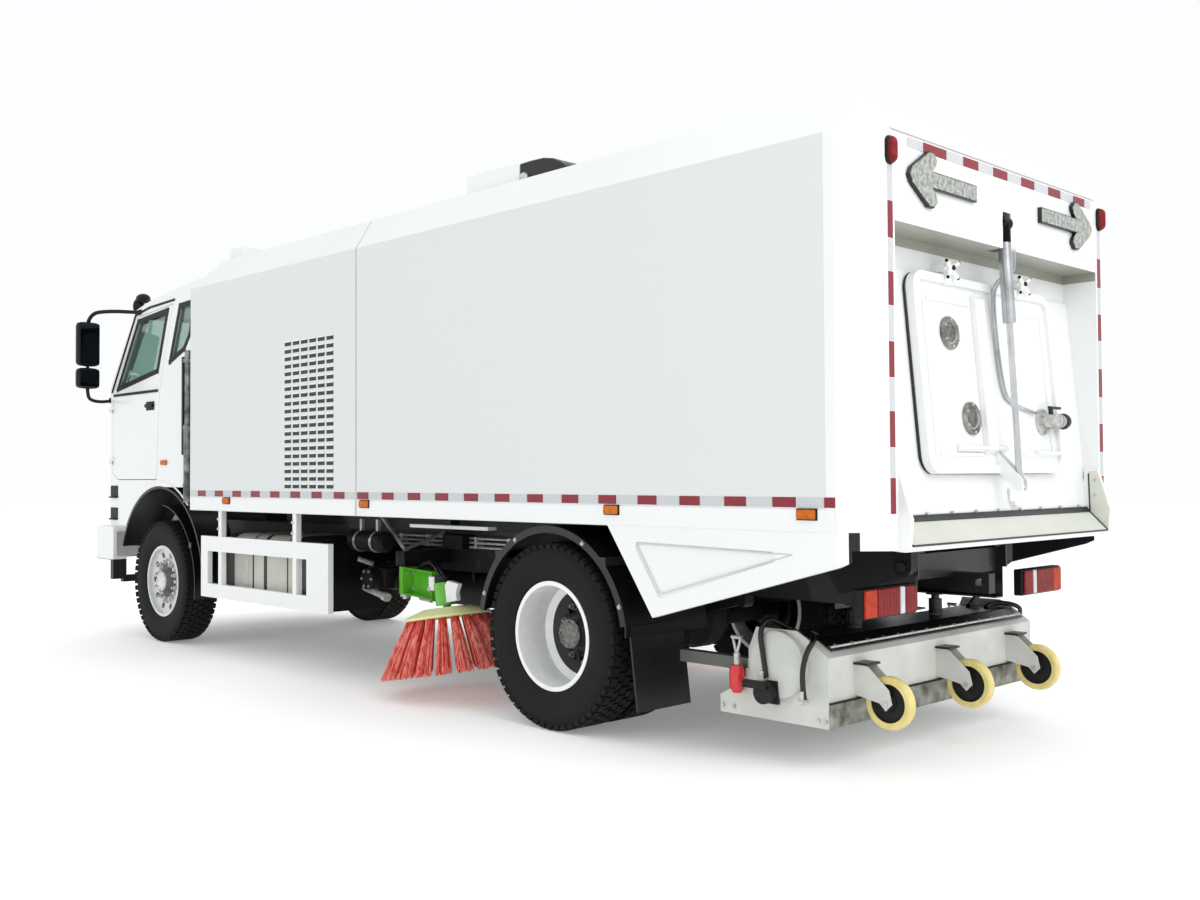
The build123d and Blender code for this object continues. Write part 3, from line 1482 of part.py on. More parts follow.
with BuildPart() as cab_shell:
    add(cab_skin.part)
    add(skirt_solid.part)
    add(skirt_space.part, mode=Mode.SUBTRACT)
    across(front_axle, axle_z, (-cab_half_width - overrun, cab_half_width + overrun), arch_radius,
           mode=Mode.SUBTRACT)
    for side in SIDES:
        reach = (side * window_reach[0], side * window_reach[1])
        side_prism(door_outline, reach, mode=Mode.SUBTRACT)
        side_prism(quarter_window, reach, mode=Mode.SUBTRACT)
        # Pivot arms under the floor
        arm_y = (side * cab_arm_inner, side * (cab_arm_inner + cab_arm_width))
        block((cab_pivot - cab_pivot_boss_radius, cab_pivot + cab_pivot_boss_radius), arm_y,
              (cab_pivot_z, cab_floor_z + cab_wall))
        across(cab_pivot, cab_pivot_z, arm_y, cab_pivot_boss_radius)
        across(cab_pivot, cab_pivot_z, arm_y, cab_pivot_pin_radius + running_gap,
               mode=Mode.SUBTRACT)
        # Door hinge eyes ahead of the door
        hinge_y = cab_half_width + door_hinge_out
        for low in door_hinge_heights:
            z_span = (low, low + door_hinge_height / 2 - running_gap)
            upright(door_hinge, side * hinge_y, z_span, door_hinge_radius)
            block((door_hinge, door_hinge + 2 * door_hinge_radius),
                  (side * (cab_half_width - cab_wall / 2), side * (hinge_y + door_hinge_radius / 2)),
                  z_span)
            upright(door_hinge, side * hinge_y, z_span, door_pin_radius + running_gap,
                    mode=Mode.SUBTRACT)
    windscreen_prism(0, Mode.SUBTRACT)
save(cab_shell.part, "cab_shell")

# Glass held in the cab's own wall
glass_outer = cab_envelope(glass_inset)
glass_inner = cab_envelope(glass_inset + glass_thickness)
with BuildPart() as glass_skin:
    add(glass_outer)
    add(glass_inner, mode=Mode.SUBTRACT)

with BuildPart() as windscreen_pane:
    add(glass_skin.part)
    windscreen_prism(seat_gap, Mode.INTERSECT)
with BuildPart() as cab_glass:
    add(windscreen_pane.part)
    for side in SIDES:
        with BuildPart(mode=Mode.PRIVATE) as pane:
            add(glass_skin.part)
            shrunk_prism(quarter_window, (side * window_reach[0], side * window_reach[1]), seat_gap,
                         Mode.INTERSECT)
        add(pane.part)
save(cab_glass.part, "cab_glass")

# Doors cut from the same skin, with pins in the hinge eyes
for door_side, side in (("left", 1), ("right", -1)):
    reach = (side * window_reach[0], side * window_reach[1])
    with BuildPart() as door:
        add(cab_skin.part)
        shrunk_prism(door_outline, reach, door_gap, Mode.INTERSECT)
        side_prism(door_window, reach, mode=Mode.SUBTRACT)
        hinge_y = cab_half_width + door_hinge_out
        door_edge = front_axle + door_front_reach - door_gap
        for low in door_hinge_heights:
            z_span = (low + door_hinge_height / 2 + running_gap, low + door_hinge_height)
            upright(door_hinge, side * hinge_y, z_span, door_hinge_radius)
            block((door_edge - 2 * door_hinge_radius, door_edge),
                  (side * (cab_half_width - cab_wall / 2), side * (hinge_y + door_hinge_radius / 2)),
                  z_span)
            block((door_edge - 2 * door_hinge_radius, door_hinge),
                  (side * (hinge_y - door_hinge_radius / 2), side * (hinge_y + door_hinge_radius / 2)),
                  z_span)
            upright(door_hinge, side * hinge_y, (low, low + door_hinge_height), door_pin_radius)
    save(door.part, f"door_{door_side}")
    with BuildPart() as door_glass:
        add(glass_skin.part)
        shrunk_prism(door_window, reach, seat_gap, Mode.INTERSECT)
    save(door_glass.part, f"door_glass_{door_side}")

# Seats on their bases, two abreast
with BuildPart() as seats:
    cabin_floor = cab_floor_z + cab_wall + seat_gap
    for side in SIDES:
        y_span = (side * seat_y - seat_width / 2, side * seat_y + seat_width / 2)
        block((seat_station, seat_station + seat_depth), (y_span[0] + seat_back_thickness,
                                                          y_span[1] - seat_back_thickness),
              (cabin_floor, seat_base_high))
        block((seat_station, seat_station + seat_depth), y_span, (seat_base_high, seat_cushion_high))
        back = [
            (seat_station, seat_base_high), (seat_station + seat_back_thickness, seat_base_high),
            (seat_station, seat_back_high), (seat_station - seat_back_thickness, seat_back_high),
            (seat_station - seat_back_thickness, seat_cushion_high),
        ]
        side_prism(back, y_span)
save(seats.part, "seats")

nose_lean = atan2(cab_nose_reach - cab_belt_reach, cab_belt_z - cab_nose_z)


def nose_inside(z):
    """Station of the cab's inner front face below the belt line."""
    drop_share = (cab_belt_z - z) / (cab_belt_z - cab_nose_z)
    forward = cab_belt_reach + (cab_nose_reach - cab_belt_reach) * drop_share
    return front_axle + forward - (cab_wall + seat_gap) / cos(nose_lean)


# Dashboard with the steering column and wheel
with BuildPart() as dashboard:
    dash_front = nose_inside(dash_high)
    dash = [
        (nose_inside(dash_low), dash_low), (dash_front, dash_high),
        (dash_front - dash_depth / 2, dash_high),
        (dash_front - dash_depth, dash_high - dash_depth / 3), (dash_front - dash_depth / 2, dash_low),
    ]
    side_prism(dash, (-cab_half_width + 2 * cab_wall, cab_half_width - 2 * cab_wall))
    cut_nose(cab_wall + moving_gap)
    wheel_middle = place(steering_station, seat_y, steering_z)
    column_foot = place(dash_front - dash_depth / 2, seat_y, dash_high - dash_depth / 3)
    column = (wheel_middle - column_foot).normalized()
    bar(column_foot, wheel_middle, 2 * steering_rim_radius)
    with BuildSketch(Plane(origin=wheel_middle, x_dir=(0, 1, 0), z_dir=column)) as spoke:
        Rectangle(2 * steering_wheel_radius, 2 * steering_rim_radius)
        Rectangle(2 * steering_rim_radius, 2 * steering_wheel_radius)
    extrude(spoke.sketch, amount=steering_rim_radius)
    ring_plane = Plane(origin=wheel_middle, x_dir=(0, 1, 0), z_dir=column)
    with BuildSketch(ring_plane) as ring:
        Circle(steering_wheel_radius + steering_rim_radius)
        Circle(steering_wheel_radius - steering_rim_radius, mode=Mode.SUBTRACT)
    extrude(ring.sketch, amount=1.5 * steering_rim_radius)
save(dashboard.part, "dashboard")

# Mirrors ahead of the doors, on arms from the roof and the front pillar
with BuildPart() as mirrors:
    for side in SIDES:
        y_span = (side * mirror_inner, side * mirror_outer)
        block((mirror_station, mirror_station + mirror_depth), y_span, (mirror_low, mirror_high))
        block((mirror_station, mirror_station + mirror_depth), y_span,
              (mirror_small_low, mirror_small_high))
        mid_y = side * (mirror_inner + mirror_outer) / 2
        mid_x = mirror_station + mirror_depth / 2
        post_top = place(mid_x, mid_y, mirror_high + mirror_post_reach)
        post_foot = place(mid_x, mid_y, mirror_small_low - mirror_post_reach)
        bar(post_foot, post_top, mirror_arm_radius)
        # Each arm ends in a short stub that stands on the cab's side
        for end, (root_x, root_z) in ((post_top, mirror_top_root), (post_foot, mirror_low_root)):
            above_belt = max(0, root_z - mirror_stub_radius - cab_belt_z)
            lean_in = cab_lean * above_belt / (cab_roof_rear_z - cab_belt_z)
            skin_y = cab_half_width - lean_in + seat_gap
            across(root_x, root_z, (side * skin_y, side * (skin_y + mirror_stub)),
                   mirror_stub_radius)
            bar(place(root_x, side * (skin_y + mirror_stub - mirror_stub_radius), root_z), end,
                mirror_arm_radius)
save(mirrors.part, "mirrors")

# Front bumper with recesses for the lamps and a bar beneath
with BuildPart() as front_bumper:
    bumper_front = front_axle + front_overhang
    shell = [
        (bumper_rear, bumper_low), (bumper_rear, bumper_high), (bumper_front, bumper_high),
        (bumper_front, bumper_low),
    ]
    side_prism(shell, (-bumper_half_width, bumper_half_width))
    block((bumper_rear - overrun, bumper_front - bumper_front_wall),
          (-bumper_half_width + bumper_wall, bumper_half_width - bumper_wall),
          (bumper_low - overrun, bumper_high + overrun), mode=Mode.SUBTRACT)
    top_slope = [
        (bumper_front - bumper_front_wall - overrun, bumper_inner_high),
        (bumper_front - bumper_front_wall, bumper_inner_high), (bumper_front, bumper_high),
        (bumper_front - bumper_front_wall - overrun, bumper_high + overrun),
    ]
    side_prism(top_slope, (-bumper_half_width + bumper_wall, bumper_half_width - bumper_wall),
               mode=Mode.SUBTRACT)
    for side in SIDES:
        block((bumper_front - lamp_depth, bumper_front + overrun),
              (side * lamp_inner, side * lamp_outer), (lamp_low, lamp_high), mode=Mode.SUBTRACT)
        block((rail_front + seat_gap, bumper_front - bumper_front_wall / 2),
              (side * bumper_stay_y[0], side * bumper_stay_y[1]), bumper_stay_z)
        block((bumper_rear, bumper_rear + 2 * bumper_wall),
              (side * (bumper_half_width - 4 * bumper_wall), side * bumper_half_width),
              (underrun_high - overrun, bumper_low + bumper_wall))
        bumper_cut = [
            (bumper_front - bumper_corner, bumper_half_width), (bumper_front, bumper_half_width - bumper_corner),
            (bumper_front + overrun, bumper_half_width - bumper_corner),
            (bumper_front + overrun, bumper_half_width + overrun),
            (bumper_front - bumper_corner, bumper_half_width + overrun),
        ]
        plan_prism([(x, side * y) for x, y in bumper_cut], (bumper_low - overrun, bumper_high + overrun),
                   mode=Mode.SUBTRACT)
    block(underrun_span, (-underrun_half, underrun_half), (underrun_low, underrun_high))
save(front_bumper.part, "front_bumper")

with BuildPart() as headlamps:
    for side in SIDES:
        block((bumper_front - lamp_depth + seat_gap, bumper_front - seat_gap),
              (side * (lamp_inner + seat_gap), side * (lamp_outer - seat_gap)),
              (lamp_low + seat_gap, lamp_high - seat_gap))
save(headlamps.part, "headlamps")


def arch(station, radius, y_span, start_angle, sweep, thickness=guard_sheet):
    """A bent sheet round a wheel, from one angle through a sweep."""
    y_low, y_high = span(*y_span)
    with BuildSketch(side_plane(y_high)) as band:
        with BuildLine():
            outer = CenterArc((station, axle_z), radius, start_angle, sweep)
            inner = CenterArc((station, axle_z), radius - thickness, start_angle, sweep)
            Line(outer @ 0, inner @ 0)
            Line(outer @ 1, inner @ 1)
        make_face()
    extrude(band.sketch, amount=y_high - y_low)


guard_end = radians(180 - rear_guard_start - rear_guard_sweep)
guard_end_x = -rear_guard_radius * cos(guard_end)
guard_end_z = axle_z + rear_guard_radius * sin(guard_end)
with BuildPart() as mudguards:
    for side in SIDES:
        arch(front_axle, front_guard_radius, (side * front_guard_inner, side * front_guard_outer),
             front_guard_start, front_guard_sweep)
        arch(0, rear_guard_radius, (side * rear_guard_inner, side * rear_guard_outer),
             rear_guard_start, rear_guard_sweep)
        arch(0, rear_guard_radius, (side * (rear_guard_outer - guard_lip_width), side * rear_guard_outer),
             rear_guard_start, rear_guard_sweep, guard_lip_height)
        # Rows of each stay's wheel station, arch radius, angle and outer end
        stays = (
            (front_axle, front_guard_radius, front_stay_angle, front_guard_outer),
            (0, rear_guard_radius, rear_stay_angle, rear_guard_outer),
            (0, rear_guard_radius, 180 - rear_stay_angle, rear_guard_outer),
        )
        for station, radius, angle, outer_y in stays:
            stay_x = station + radius * cos(radians(angle))
            stay_z = axle_z + radius * sin(radians(angle))
            block((stay_x - stay_half, stay_x + stay_half),
                  (side * (rail_outer + seat_gap), side * outer_y),
                  (stay_z - stay_half, stay_z + stay_half))
        # Tail plate that carries the mud flap
        block((guard_end_x, guard_end_x + guard_sheet), (side * rear_guard_inner, side * rear_guard_outer),
              (guard_end_z - guard_tail, guard_end_z))
save(mudguards.part, "mudguards")

with BuildPart() as mud_flaps:
    flap_x = guard_end_x - seat_gap
    for side in SIDES:
        flap = [
            (flap_x, guard_end_z), (flap_x - flap_thickness, guard_end_z),
            (flap_x - flap_thickness, guard_end_z - guard_tail),
            (flap_x - 5 * flap_thickness, flap_low), (flap_x - 4 * flap_thickness, flap_low),
            (flap_x, guard_end_z - guard_tail),
        ]
        side_prism(flap, (side * flap_inner, side * flap_outer))
save(mud_flaps.part, "mud_flaps")

# Side guards, hung by posts from the fixed housing
with BuildPart() as side_guards:
    for side in SIDES:
        y_span = (side * (guard_outer - guard_thickness), side * guard_outer)
        block((guard_rear, guard_front), y_span, (guard_low, guard_high))
        block(guard_window, (side * (guard_outer - guard_thickness - overrun),
                             side * (guard_outer + overrun)), guard_window_z, mode=Mode.SUBTRACT)
        for post in guard_posts:
            block((post - guard_post_width / 2, post + guard_post_width / 2), y_span,
                  (guard_low, body_low - seat_gap))
save(side_guards.part, "side_guards")

# Fuel tank on the left, battery box and air tank on the right
with BuildPart() as side_tanks:
    tank_outline = [
        (fuel_inner, fuel_low), (fuel_outer, fuel_low), (fuel_outer, fuel_high),
        (fuel_inner, fuel_high),
    ]
    with BuildSketch(end_plane(fuel_span[0])) as tank_section:
        with BuildLine():
            FilletPolyline(*tank_outline, radius=fuel_corner, close=True)
        make_face()
    extrude(tank_section.sketch, amount=fuel_span[1] - fuel_span[0])
    block(battery_span, (-fuel_outer, -fuel_inner), (battery_low, fuel_high))
    air_z = fuel_high - air_tank_radius
    air_y = (fuel_inner + fuel_outer) / 2
    bar(place(air_tank_span[0], -air_y, air_z), place(air_tank_span[1], -air_y, air_z),
        air_tank_radius)
    for foot in tank_foot_stations:
        for side in SIDES:
            foot_end = air_y if side < 0 and foot > battery_span[1] else fuel_inner + tank_foot_sink
            block((foot - tank_foot_half, foot + tank_foot_half),
                  (side * (rail_outer + seat_gap), side * foot_end),
                  (rail_low + tank_foot_half, rail_low + 3 * tank_foot_half))
save(side_tanks.part, "side_tanks")

# Side markers on the two body sections
marker_z = (marker_low, marker_low + marker_height)
marker_y = (body_half_width + seat_gap, body_half_width + marker_depth)


def markers(stations):
    """Amber side markers on both sides at the given stations."""
    for station in stations:
        for side in SIDES:
            block((station - marker_length / 2, station + marker_length / 2),
                  (side * marker_y[0], side * marker_y[1]), marker_z)


# Low tail lamps on a bar behind the rear crossmember, and the housing's markers
with BuildPart() as chassis_lamps:
    markers(housing_marker_stations)
    for side in SIDES:
        block((tail_lamp_station, tail_lamp_station - tail_lamp_depth),
              (side * tail_lamp_inner, side * tail_lamp_outer), (tail_lamp_low, tail_lamp_high))
        block((rail_rear - seat_gap, tail_lamp_station - tail_lamp_depth / 2),
              (side * rail_inner, side * tail_lamp_outer), tail_bar_z)
save(chassis_lamps.part, "chassis_lamps")

with BuildPart() as hopper_lamps:
    markers(hopper_marker_stations)
    for side in SIDES:
        lamp_x = hopper_rear - seat_gap
        lamp_y = (side * (top_lamp_y - top_lamp_radius), side * (top_lamp_y + top_lamp_radius))
        block((lamp_x - top_lamp_radius, lamp_x), lamp_y,
              (top_lamp_z - top_lamp_length / 2, top_lamp_z + top_lamp_length / 2))
save(hopper_lamps.part, "hopper_lamps")

with BuildPart() as arrow_boards:
    for side in SIDES:
        neck = arrow_tip_y - arrow_head_length
        arrow = [
            (arrow_tip_y, arrow_z), (neck - arrow_shaft_half / 2, arrow_z + arrow_head_half),
            (neck, arrow_z + arrow_shaft_half), (arrow_tail_y, arrow_z + arrow_shaft_half),
            (arrow_tail_y, arrow_z - arrow_shaft_half), (neck, arrow_z - arrow_shaft_half),
            (neck - arrow_shaft_half / 2, arrow_z - arrow_head_half),
        ]
        end_prism([(side * y, z) for y, z in arrow],
                  (hopper_rear - seat_gap - arrow_thickness, hopper_rear - seat_gap))
save(arrow_boards.part, "arrow_boards")
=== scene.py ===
"""Looks of a street sweeper truck: its paint, glass and rubber, and the fittings around its solids.

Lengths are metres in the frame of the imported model. Stations are measured forward from the rear axle.
"""
import math
import random

import bmesh
import bpy
from mathutils import Matrix, Vector


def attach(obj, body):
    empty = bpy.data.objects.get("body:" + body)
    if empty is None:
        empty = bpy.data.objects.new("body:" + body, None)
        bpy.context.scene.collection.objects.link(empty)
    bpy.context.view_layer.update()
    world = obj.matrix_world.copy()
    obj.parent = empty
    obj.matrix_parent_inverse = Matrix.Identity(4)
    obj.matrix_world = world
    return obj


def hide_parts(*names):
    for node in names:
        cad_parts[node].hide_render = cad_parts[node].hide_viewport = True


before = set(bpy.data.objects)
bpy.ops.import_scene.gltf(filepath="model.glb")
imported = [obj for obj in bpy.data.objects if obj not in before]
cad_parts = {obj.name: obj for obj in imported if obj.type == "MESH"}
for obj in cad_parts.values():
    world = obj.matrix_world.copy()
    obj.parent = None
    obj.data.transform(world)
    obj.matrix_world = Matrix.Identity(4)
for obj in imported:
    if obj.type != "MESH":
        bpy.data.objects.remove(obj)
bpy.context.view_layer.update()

REAR_AXLE_X = -2.0625
FRONT_AXLE = 5.0
AXLE_Z = 0.508
SIDES = ((1, "left"), (-1, "right"))
AHEAD, LEFT, UP = Vector((1, 0, 0)), Vector((0, 1, 0)), Vector((0, 0, 1))


def at(station, y, z):
    """A point from its station, Y and height."""
    return Vector((REAR_AXLE_X + station, y, z))


def linear(code):
    """An sRGB hex colour as linear RGBA."""
    parts = [int(code[i:i + 2], 16) / 255 for i in (1, 3, 5)]
    return [c / 12.92 if c <= 0.04045 else ((c + 0.055) / 1.055) ** 2.4 for c in parts] + [1]


# Camera

CAMERA_SPOT = at(-4.9123, 5.6099, 1.3795)
CAMERA_YAW, CAMERA_PITCH, CAMERA_ROLL = -0.7731, 0.0253, -0.0054
camera_data = bpy.data.cameras.new("camera")
camera_data.lens = 36.31
camera_data.sensor_width = 36
camera_data.shift_x = -0.0008
camera_data.shift_y = -0.0045
camera = bpy.data.objects.new("camera", camera_data)
bpy.context.collection.objects.link(camera)
look = Vector((math.cos(CAMERA_YAW) * math.cos(CAMERA_PITCH),
               math.sin(CAMERA_YAW) * math.cos(CAMERA_PITCH), math.sin(CAMERA_PITCH)))
camera.location = CAMERA_SPOT
camera.rotation_euler = (look.to_track_quat("-Z", "Y").to_matrix()
                         @ Matrix.Rotation(CAMERA_ROLL, 3, "Z")).to_euler()
bpy.context.scene.camera = camera


# Finishes

class Finish:
    """A procedural material in object coordinates, and the name of a slot, which is kept but not used."""

    def __init__(self, name, slot, roughness, metallic=0, **sockets):
        self.material = bpy.data.materials.new(name)
        self.material.use_nodes = True
        self.slot = slot
        self.tree = self.material.node_tree
        self.shader = self.tree.nodes["Principled BSDF"]
        for socket, value in {"Roughness": roughness, "Metallic": metallic, **sockets}.items():
            self.shader.inputs[socket.replace("_", " ")].default_value = value
        self.spots = self.add("TexCoord").outputs["Object"]

    def add(self, kind, values=(), links=(), **settings):
        """Adds a node with its settings, input values and input links."""
        made = self.tree.nodes.new("ShaderNode" + kind)
        for key, value in settings.items():
            setattr(made, key, value)
        for socket, value in values:
            made.inputs[socket].default_value = value
        for socket, source in links:
            self.tree.links.new(source, made.inputs[socket])
        return made

    def patterned(self, colours, low, high, texture, output, values, **settings):
        """Base colour that goes from one colour to another as a texture's output rises from low to high."""
        pattern = self.add(texture, values, [("Vector", self.spots)], **settings)
        ramp = self.add("ValToRGB", links=[("Fac", pattern.outputs[output])])
        first, last = ramp.color_ramp.elements
        first.position, last.position = low, high
        first.color, last.color = linear(colours[0]), linear(colours[1])
        self.tree.links.new(ramp.outputs["Color"], self.shader.inputs["Base Color"])
        return self

    def mottled(self, colours, patch, detail=4, low=0.3, high=0.7):
        """Base colour that drifts between two colours in patches of a real size in metres."""
        return self.patterned(colours, low, high, "TexNoise", "Fac", [("Scale", 1 / patch), ("Detail", detail)])

    def embossed(self, height, strength, texture, values, **settings):
        """Bumps of a real height in metres, laid out by a texture."""
        relief = self.add(texture, values, [("Vector", self.spots)], **settings)
        bump = self.add("Bump", [("Strength", strength), ("Distance", height)], [("Height", relief.outputs["Fac"])])
        self.tree.links.new(bump.outputs["Normal"], self.shader.inputs["Normal"])
        return self

    def grained(self, grain, height, strength=0.5):
        """Fine bumps of a real size and height in metres."""
        return self.embossed(height, strength, "TexNoise", [("Scale", 1 / grain), ("Detail", 2)])

    def tinted(self, amount, colour, roughness=None):
        """Another base colour, and roughness, where an amount is 1."""
        before = self.shader.inputs["Base Color"].links[0].from_socket
        mixed = self.add("MixRGB", [("Color2", linear(colour))], [("Fac", amount), ("Color1", before)])
        self.tree.links.new(mixed.outputs["Color"], self.shader.inputs["Base Color"])
        if roughness is not None:
            plain = self.shader.inputs["Roughness"]
            rough = self.add("MapRange", [("To Min", plain.default_value), ("To Max", roughness)],
                             [("Value", amount)])
            self.tree.links.new(rough.outputs["Result"], plain)
        return self

    def within(self, colour, roughness=None, **spans):
        """Another colour, and roughness, inside spans of X, of Y on either side, and of Z, in metres."""
        places = self.add("SeparateXYZ", links=[("Vector", self.spots)])
        either_side = self.add("Math", links=[(0, places.outputs["Y"])], operation="ABSOLUTE")
        sources = {"X": places.outputs["X"], "Y": either_side.outputs["Value"], "Z": places.outputs["Z"]}
        amount = None
        for axis, (low, high) in spans.items():
            for operation, edge in (("GREATER_THAN", low), ("LESS_THAN", high)):
                test = self.add("Math", [(1, edge)], [(0, sources[axis])], operation=operation).outputs["Value"]
                amount = test if amount is None else self.add(
                    "Math", links=[(0, amount), (1, test)], operation="MULTIPLY").outputs["Value"]
        return self.tinted(amount, colour, roughness)

    def dusty(self, clean, dust, top, bottom, most):
        """Road dust that fades in from a height down to the road."""
        heights = self.add("SeparateXYZ", links=[("Vector", self.spots)])
        rise = self.add("MapRange", [("From Min", bottom), ("From Max", top), ("To Min", most), ("To Max", 0)],
                        [("Value", heights.outputs["Z"])])
        noise = self.add("TexNoise", [("Scale", 9), ("Detail", 6)], [("Vector", self.spots)])
        amount = self.add("Math", links=[(0, rise.outputs["Result"]), (1, noise.outputs["Fac"])],
                          operation="MULTIPLY")
        mixed = self.add("MixRGB", [("Color1", linear(clean)), ("Color2", linear(dust))],
                         [("Fac", amount.outputs["Value"])])
        self.tree.links.new(mixed.outputs["Color"], self.shader.inputs["Base Color"])
        return self

    def disc(self, station, reach, colour):
        """Another colour within a reach of a wheel's axle."""
        place = self.add("VectorMath", [(1, at(station, 0, AXLE_Z))], [(0, self.spots)], operation="SUBTRACT")
        flat = self.add("VectorMath", [(1, AHEAD + UP)], [(0, place.outputs["Vector"])], operation="MULTIPLY")
        radius = self.add("VectorMath", links=[(0, flat.outputs["Vector"])], operation="LENGTH")
        inside = self.add("Math", [(1, reach)], [(0, radius.outputs["Value"])], operation="LESS_THAN")
        return self.tinted(inside.outputs["Value"], colour)


def mottled_finish(name, slot, colours, patch, grain, height, *plain, **sockets):
    """A finish of two drifting colours over fine bumps."""
    return Finish(name, slot, *plain, **sockets).mottled(colours, patch).grained(grain, height)


# Two-pack acrylic enamel on steel sheet: glossy, with a faint orange peel
white_enamel = Finish("white_enamel", "body_white", 0.3, Coat_Weight=0.4, Coat_Roughness=0.08)
white_enamel.dusty("#ECEEED", "#B3B0A6", 1.25, 0.4, 0.12).grained(0.006, 0.0004, 0.06)
# The same enamel on the body, with painted shade that makes it greyer on the flat sides and darker in the recess;
# black underneath
body_enamel = Finish("body_enamel", "body_white", 0.32, Coat_Weight=0.25, Coat_Roughness=0.1)
body_enamel.mottled(("#E9EBEA", "#EEF0EF"), 1.6).grained(0.006, 0.0004, 0.06)
# Painted shade: the flat sides greyer than the chamfers and the rear, where the light falls
body_enamel.within("#DADDDC", X=(-3.90, 2.20), Y=(1.2485, 1.30), Z=(1.225, 3.0))
# Painted shade in the recess above the tailgate
body_enamel.within("#9C9D91", X=(-4.108, -3.80), Y=(-1, 1.03), Z=(2.44, 2.9))
body_enamel.within("#0B0B0B", 0.8, X=(-4.025, 2.14), Y=(-1, 1.215), Z=(0.4, 1.126))
# The same enamel on the bumper, whose lower brackets are black
bumper_enamel = Finish("bumper_enamel", "body_white", 0.3, Coat_Weight=0.3, Coat_Roughness=0.1)
bumper_enamel.mottled(("#E9EBEA", "#EEF0EF"), 1.0).grained(0.006, 0.0004, 0.06)
bumper_enamel.within("#0B0B0B", 0.6, X=(3.0, 5.0), Z=(0.1, 0.655))
# Brushed-on chassis enamel, dulled by road film
chassis_enamel = Finish("chassis_enamel", "chassis_black", 0.5, Coat_Weight=0.2)
chassis_enamel.dusty("#0A0B0C", "#3A3833", 1.2, 0.1, 0.22).grained(0.004, 0.0006, 0.3)
# Sand-cast iron under black paint: coarse skin
cast_iron = mottled_finish("painted_cast_iron", "axle_iron", ("#0C0C0D", "#1B1B1C"), 0.08, 0.002, 0.0012, 0.6, 0.3)
# Moulded tyre rubber: dull black with a grey bloom
tyre_rubber = Finish("moulded_tyre_rubber", "tyre_rubber", 0.78, Specular_IOR_Level=0.3)
tyre_rubber.dusty("#0B0B0C", "#33312D", 0.9, 0.0, 0.25).grained(0.003, 0.0006, 0.35)
# Pressed steel wheels in aluminium wheel paint: fine metal flake
wheel_paint = mottled_finish("aluminium_wheel_paint", "wheel_silver", ("#C9CBCA", "#DADCDB"), 0.05, 0.0012, 0.0002,
                             0.34, 0.4)
# Rear rims in the same paint, whose deep-set disc is black: painted shade
rear_wheel_paint = mottled_finish("wheel_paint_with_shaded_disc", "wheel_silver", ("#EDEFEE", "#F6F7F5"), 0.05, 0.0012,
                                  0.0002, 0.34, 0.15).disc(0, 0.236, "#151616")
# Front rims: the disc around the hub is darker with brake dust
front_wheel_paint = mottled_finish("dusty_wheel_paint", "wheel_silver", ("#C9CBCA", "#DADCDB"), 0.05, 0.0012,
                                   0.0002, 0.34, 0.15).disc(FRONT_AXLE, 0.150, "#5B5C5A")
# Cast steel hub: grey with oil stains
hub_steel = mottled_finish("cast_steel_hub", "axle_iron", ("#4E504C", "#8A8C86"), 0.02, 0.002, 0.0006, 0.5, 0.4)
# Moulded rubber sheet of mudguards, flaps and covers
sheet_rubber = mottled_finish("sheet_rubber", "trim_black", ("#060607", "#101113"), 0.12, 0.002, 0.0006, 0.34)
# Textured polypropylene of trim and mirror shells
moulded_trim = mottled_finish("textured_polypropylene", "trim_black", ("#070708", "#0E0E10"), 0.2, 0.0012, 0.0004,
                              0.5, Specular_IOR_Level=0.3)
# Hot-dip zinc: dull grey spangle
galvanised = Finish("hot_dip_zinc", "galvanised", 0.45, 0.35)
galvanised.patterned(("#A9ACAA", "#D0D3D1"), 0, 1, "TexVoronoi", "Color", [("Scale", 55)])
galvanised.grained(0.01, 0.0004, 0.2)
# Worn mild steel of the skirt strips: darker, with stains
worn_steel = mottled_finish("worn_mild_steel", "galvanised", ("#4C4F45", "#A3A59C"), 0.07, 0.004, 0.0006, 0.5, 0.4)
# Hard chrome of the piston rods: mirror bright
hard_chrome = mottled_finish("hard_chrome", "rod_chrome", ("#C3C5C8", "#D6D8DA"), 0.1, 0.004, 0.0001, 0.12, 1)
# Polished steel pipe
bright_steel = mottled_finish("polished_steel", "rod_chrome", ("#9DA0A2", "#CDD0D2"), 0.15, 0.002, 0.0002, 0.22, 0.9)
# The same steel on the tailgate cylinder, whose upper eye is black
tube_steel = mottled_finish("cylinder_tube_steel", "rod_chrome", ("#9DA0A2", "#CDD0D2"), 0.15, 0.002, 0.0002,
                            0.22, 0.9).within("#0A0A0B", 0.5, X=(-4.4, -3.6), Z=(2.520, 3.2))
# Zinc-plated bolts and fittings
zinc_plate = mottled_finish("zinc_plate", "galvanised", ("#A9AAA6", "#D6D7D2"), 0.02, 0.002, 0.0003, 0.32, 0.5)
# Satin grey enamel of plates under the body
grey_enamel = mottled_finish("grey_satin_enamel", "hood_grey", ("#C6C9C2", "#D6D8D1"), 0.3, 0.004, 0.0004, 0.42,
                             Coat_Weight=0.2)
# The suction box in such a grey: its guide sleeves are black and its drag links darker grey
box_enamel = mottled_finish("suction_box_enamel", "box_grey", ("#C4C7C0", "#D8DAD3"), 0.22, 0.004, 0.0004, 0.42,
                            Coat_Weight=0.15)
box_enamel.within("#101010", 0.7, X=(-3.60, -3.10), Y=(-1, 0.60), Z=(0.608, 1.2))
box_enamel.within("#5E605A", 0.5, X=(-3.235, -1.0), Z=(0.40, 1.2))
# Cream primer inside the chute
cream_enamel = mottled_finish("cream_primer", "hood_grey", ("#CDD0C6", "#D8DACF"), 0.3, 0.004, 0.0004, 0.5)
# Bright green enamel of the broom bracket
green_enamel = mottled_finish("green_enamel", "arm_green", ("#4FA81E", "#66C42B"), 0.15, 0.004, 0.0004, 0.32,
                              Coat_Weight=0.4)
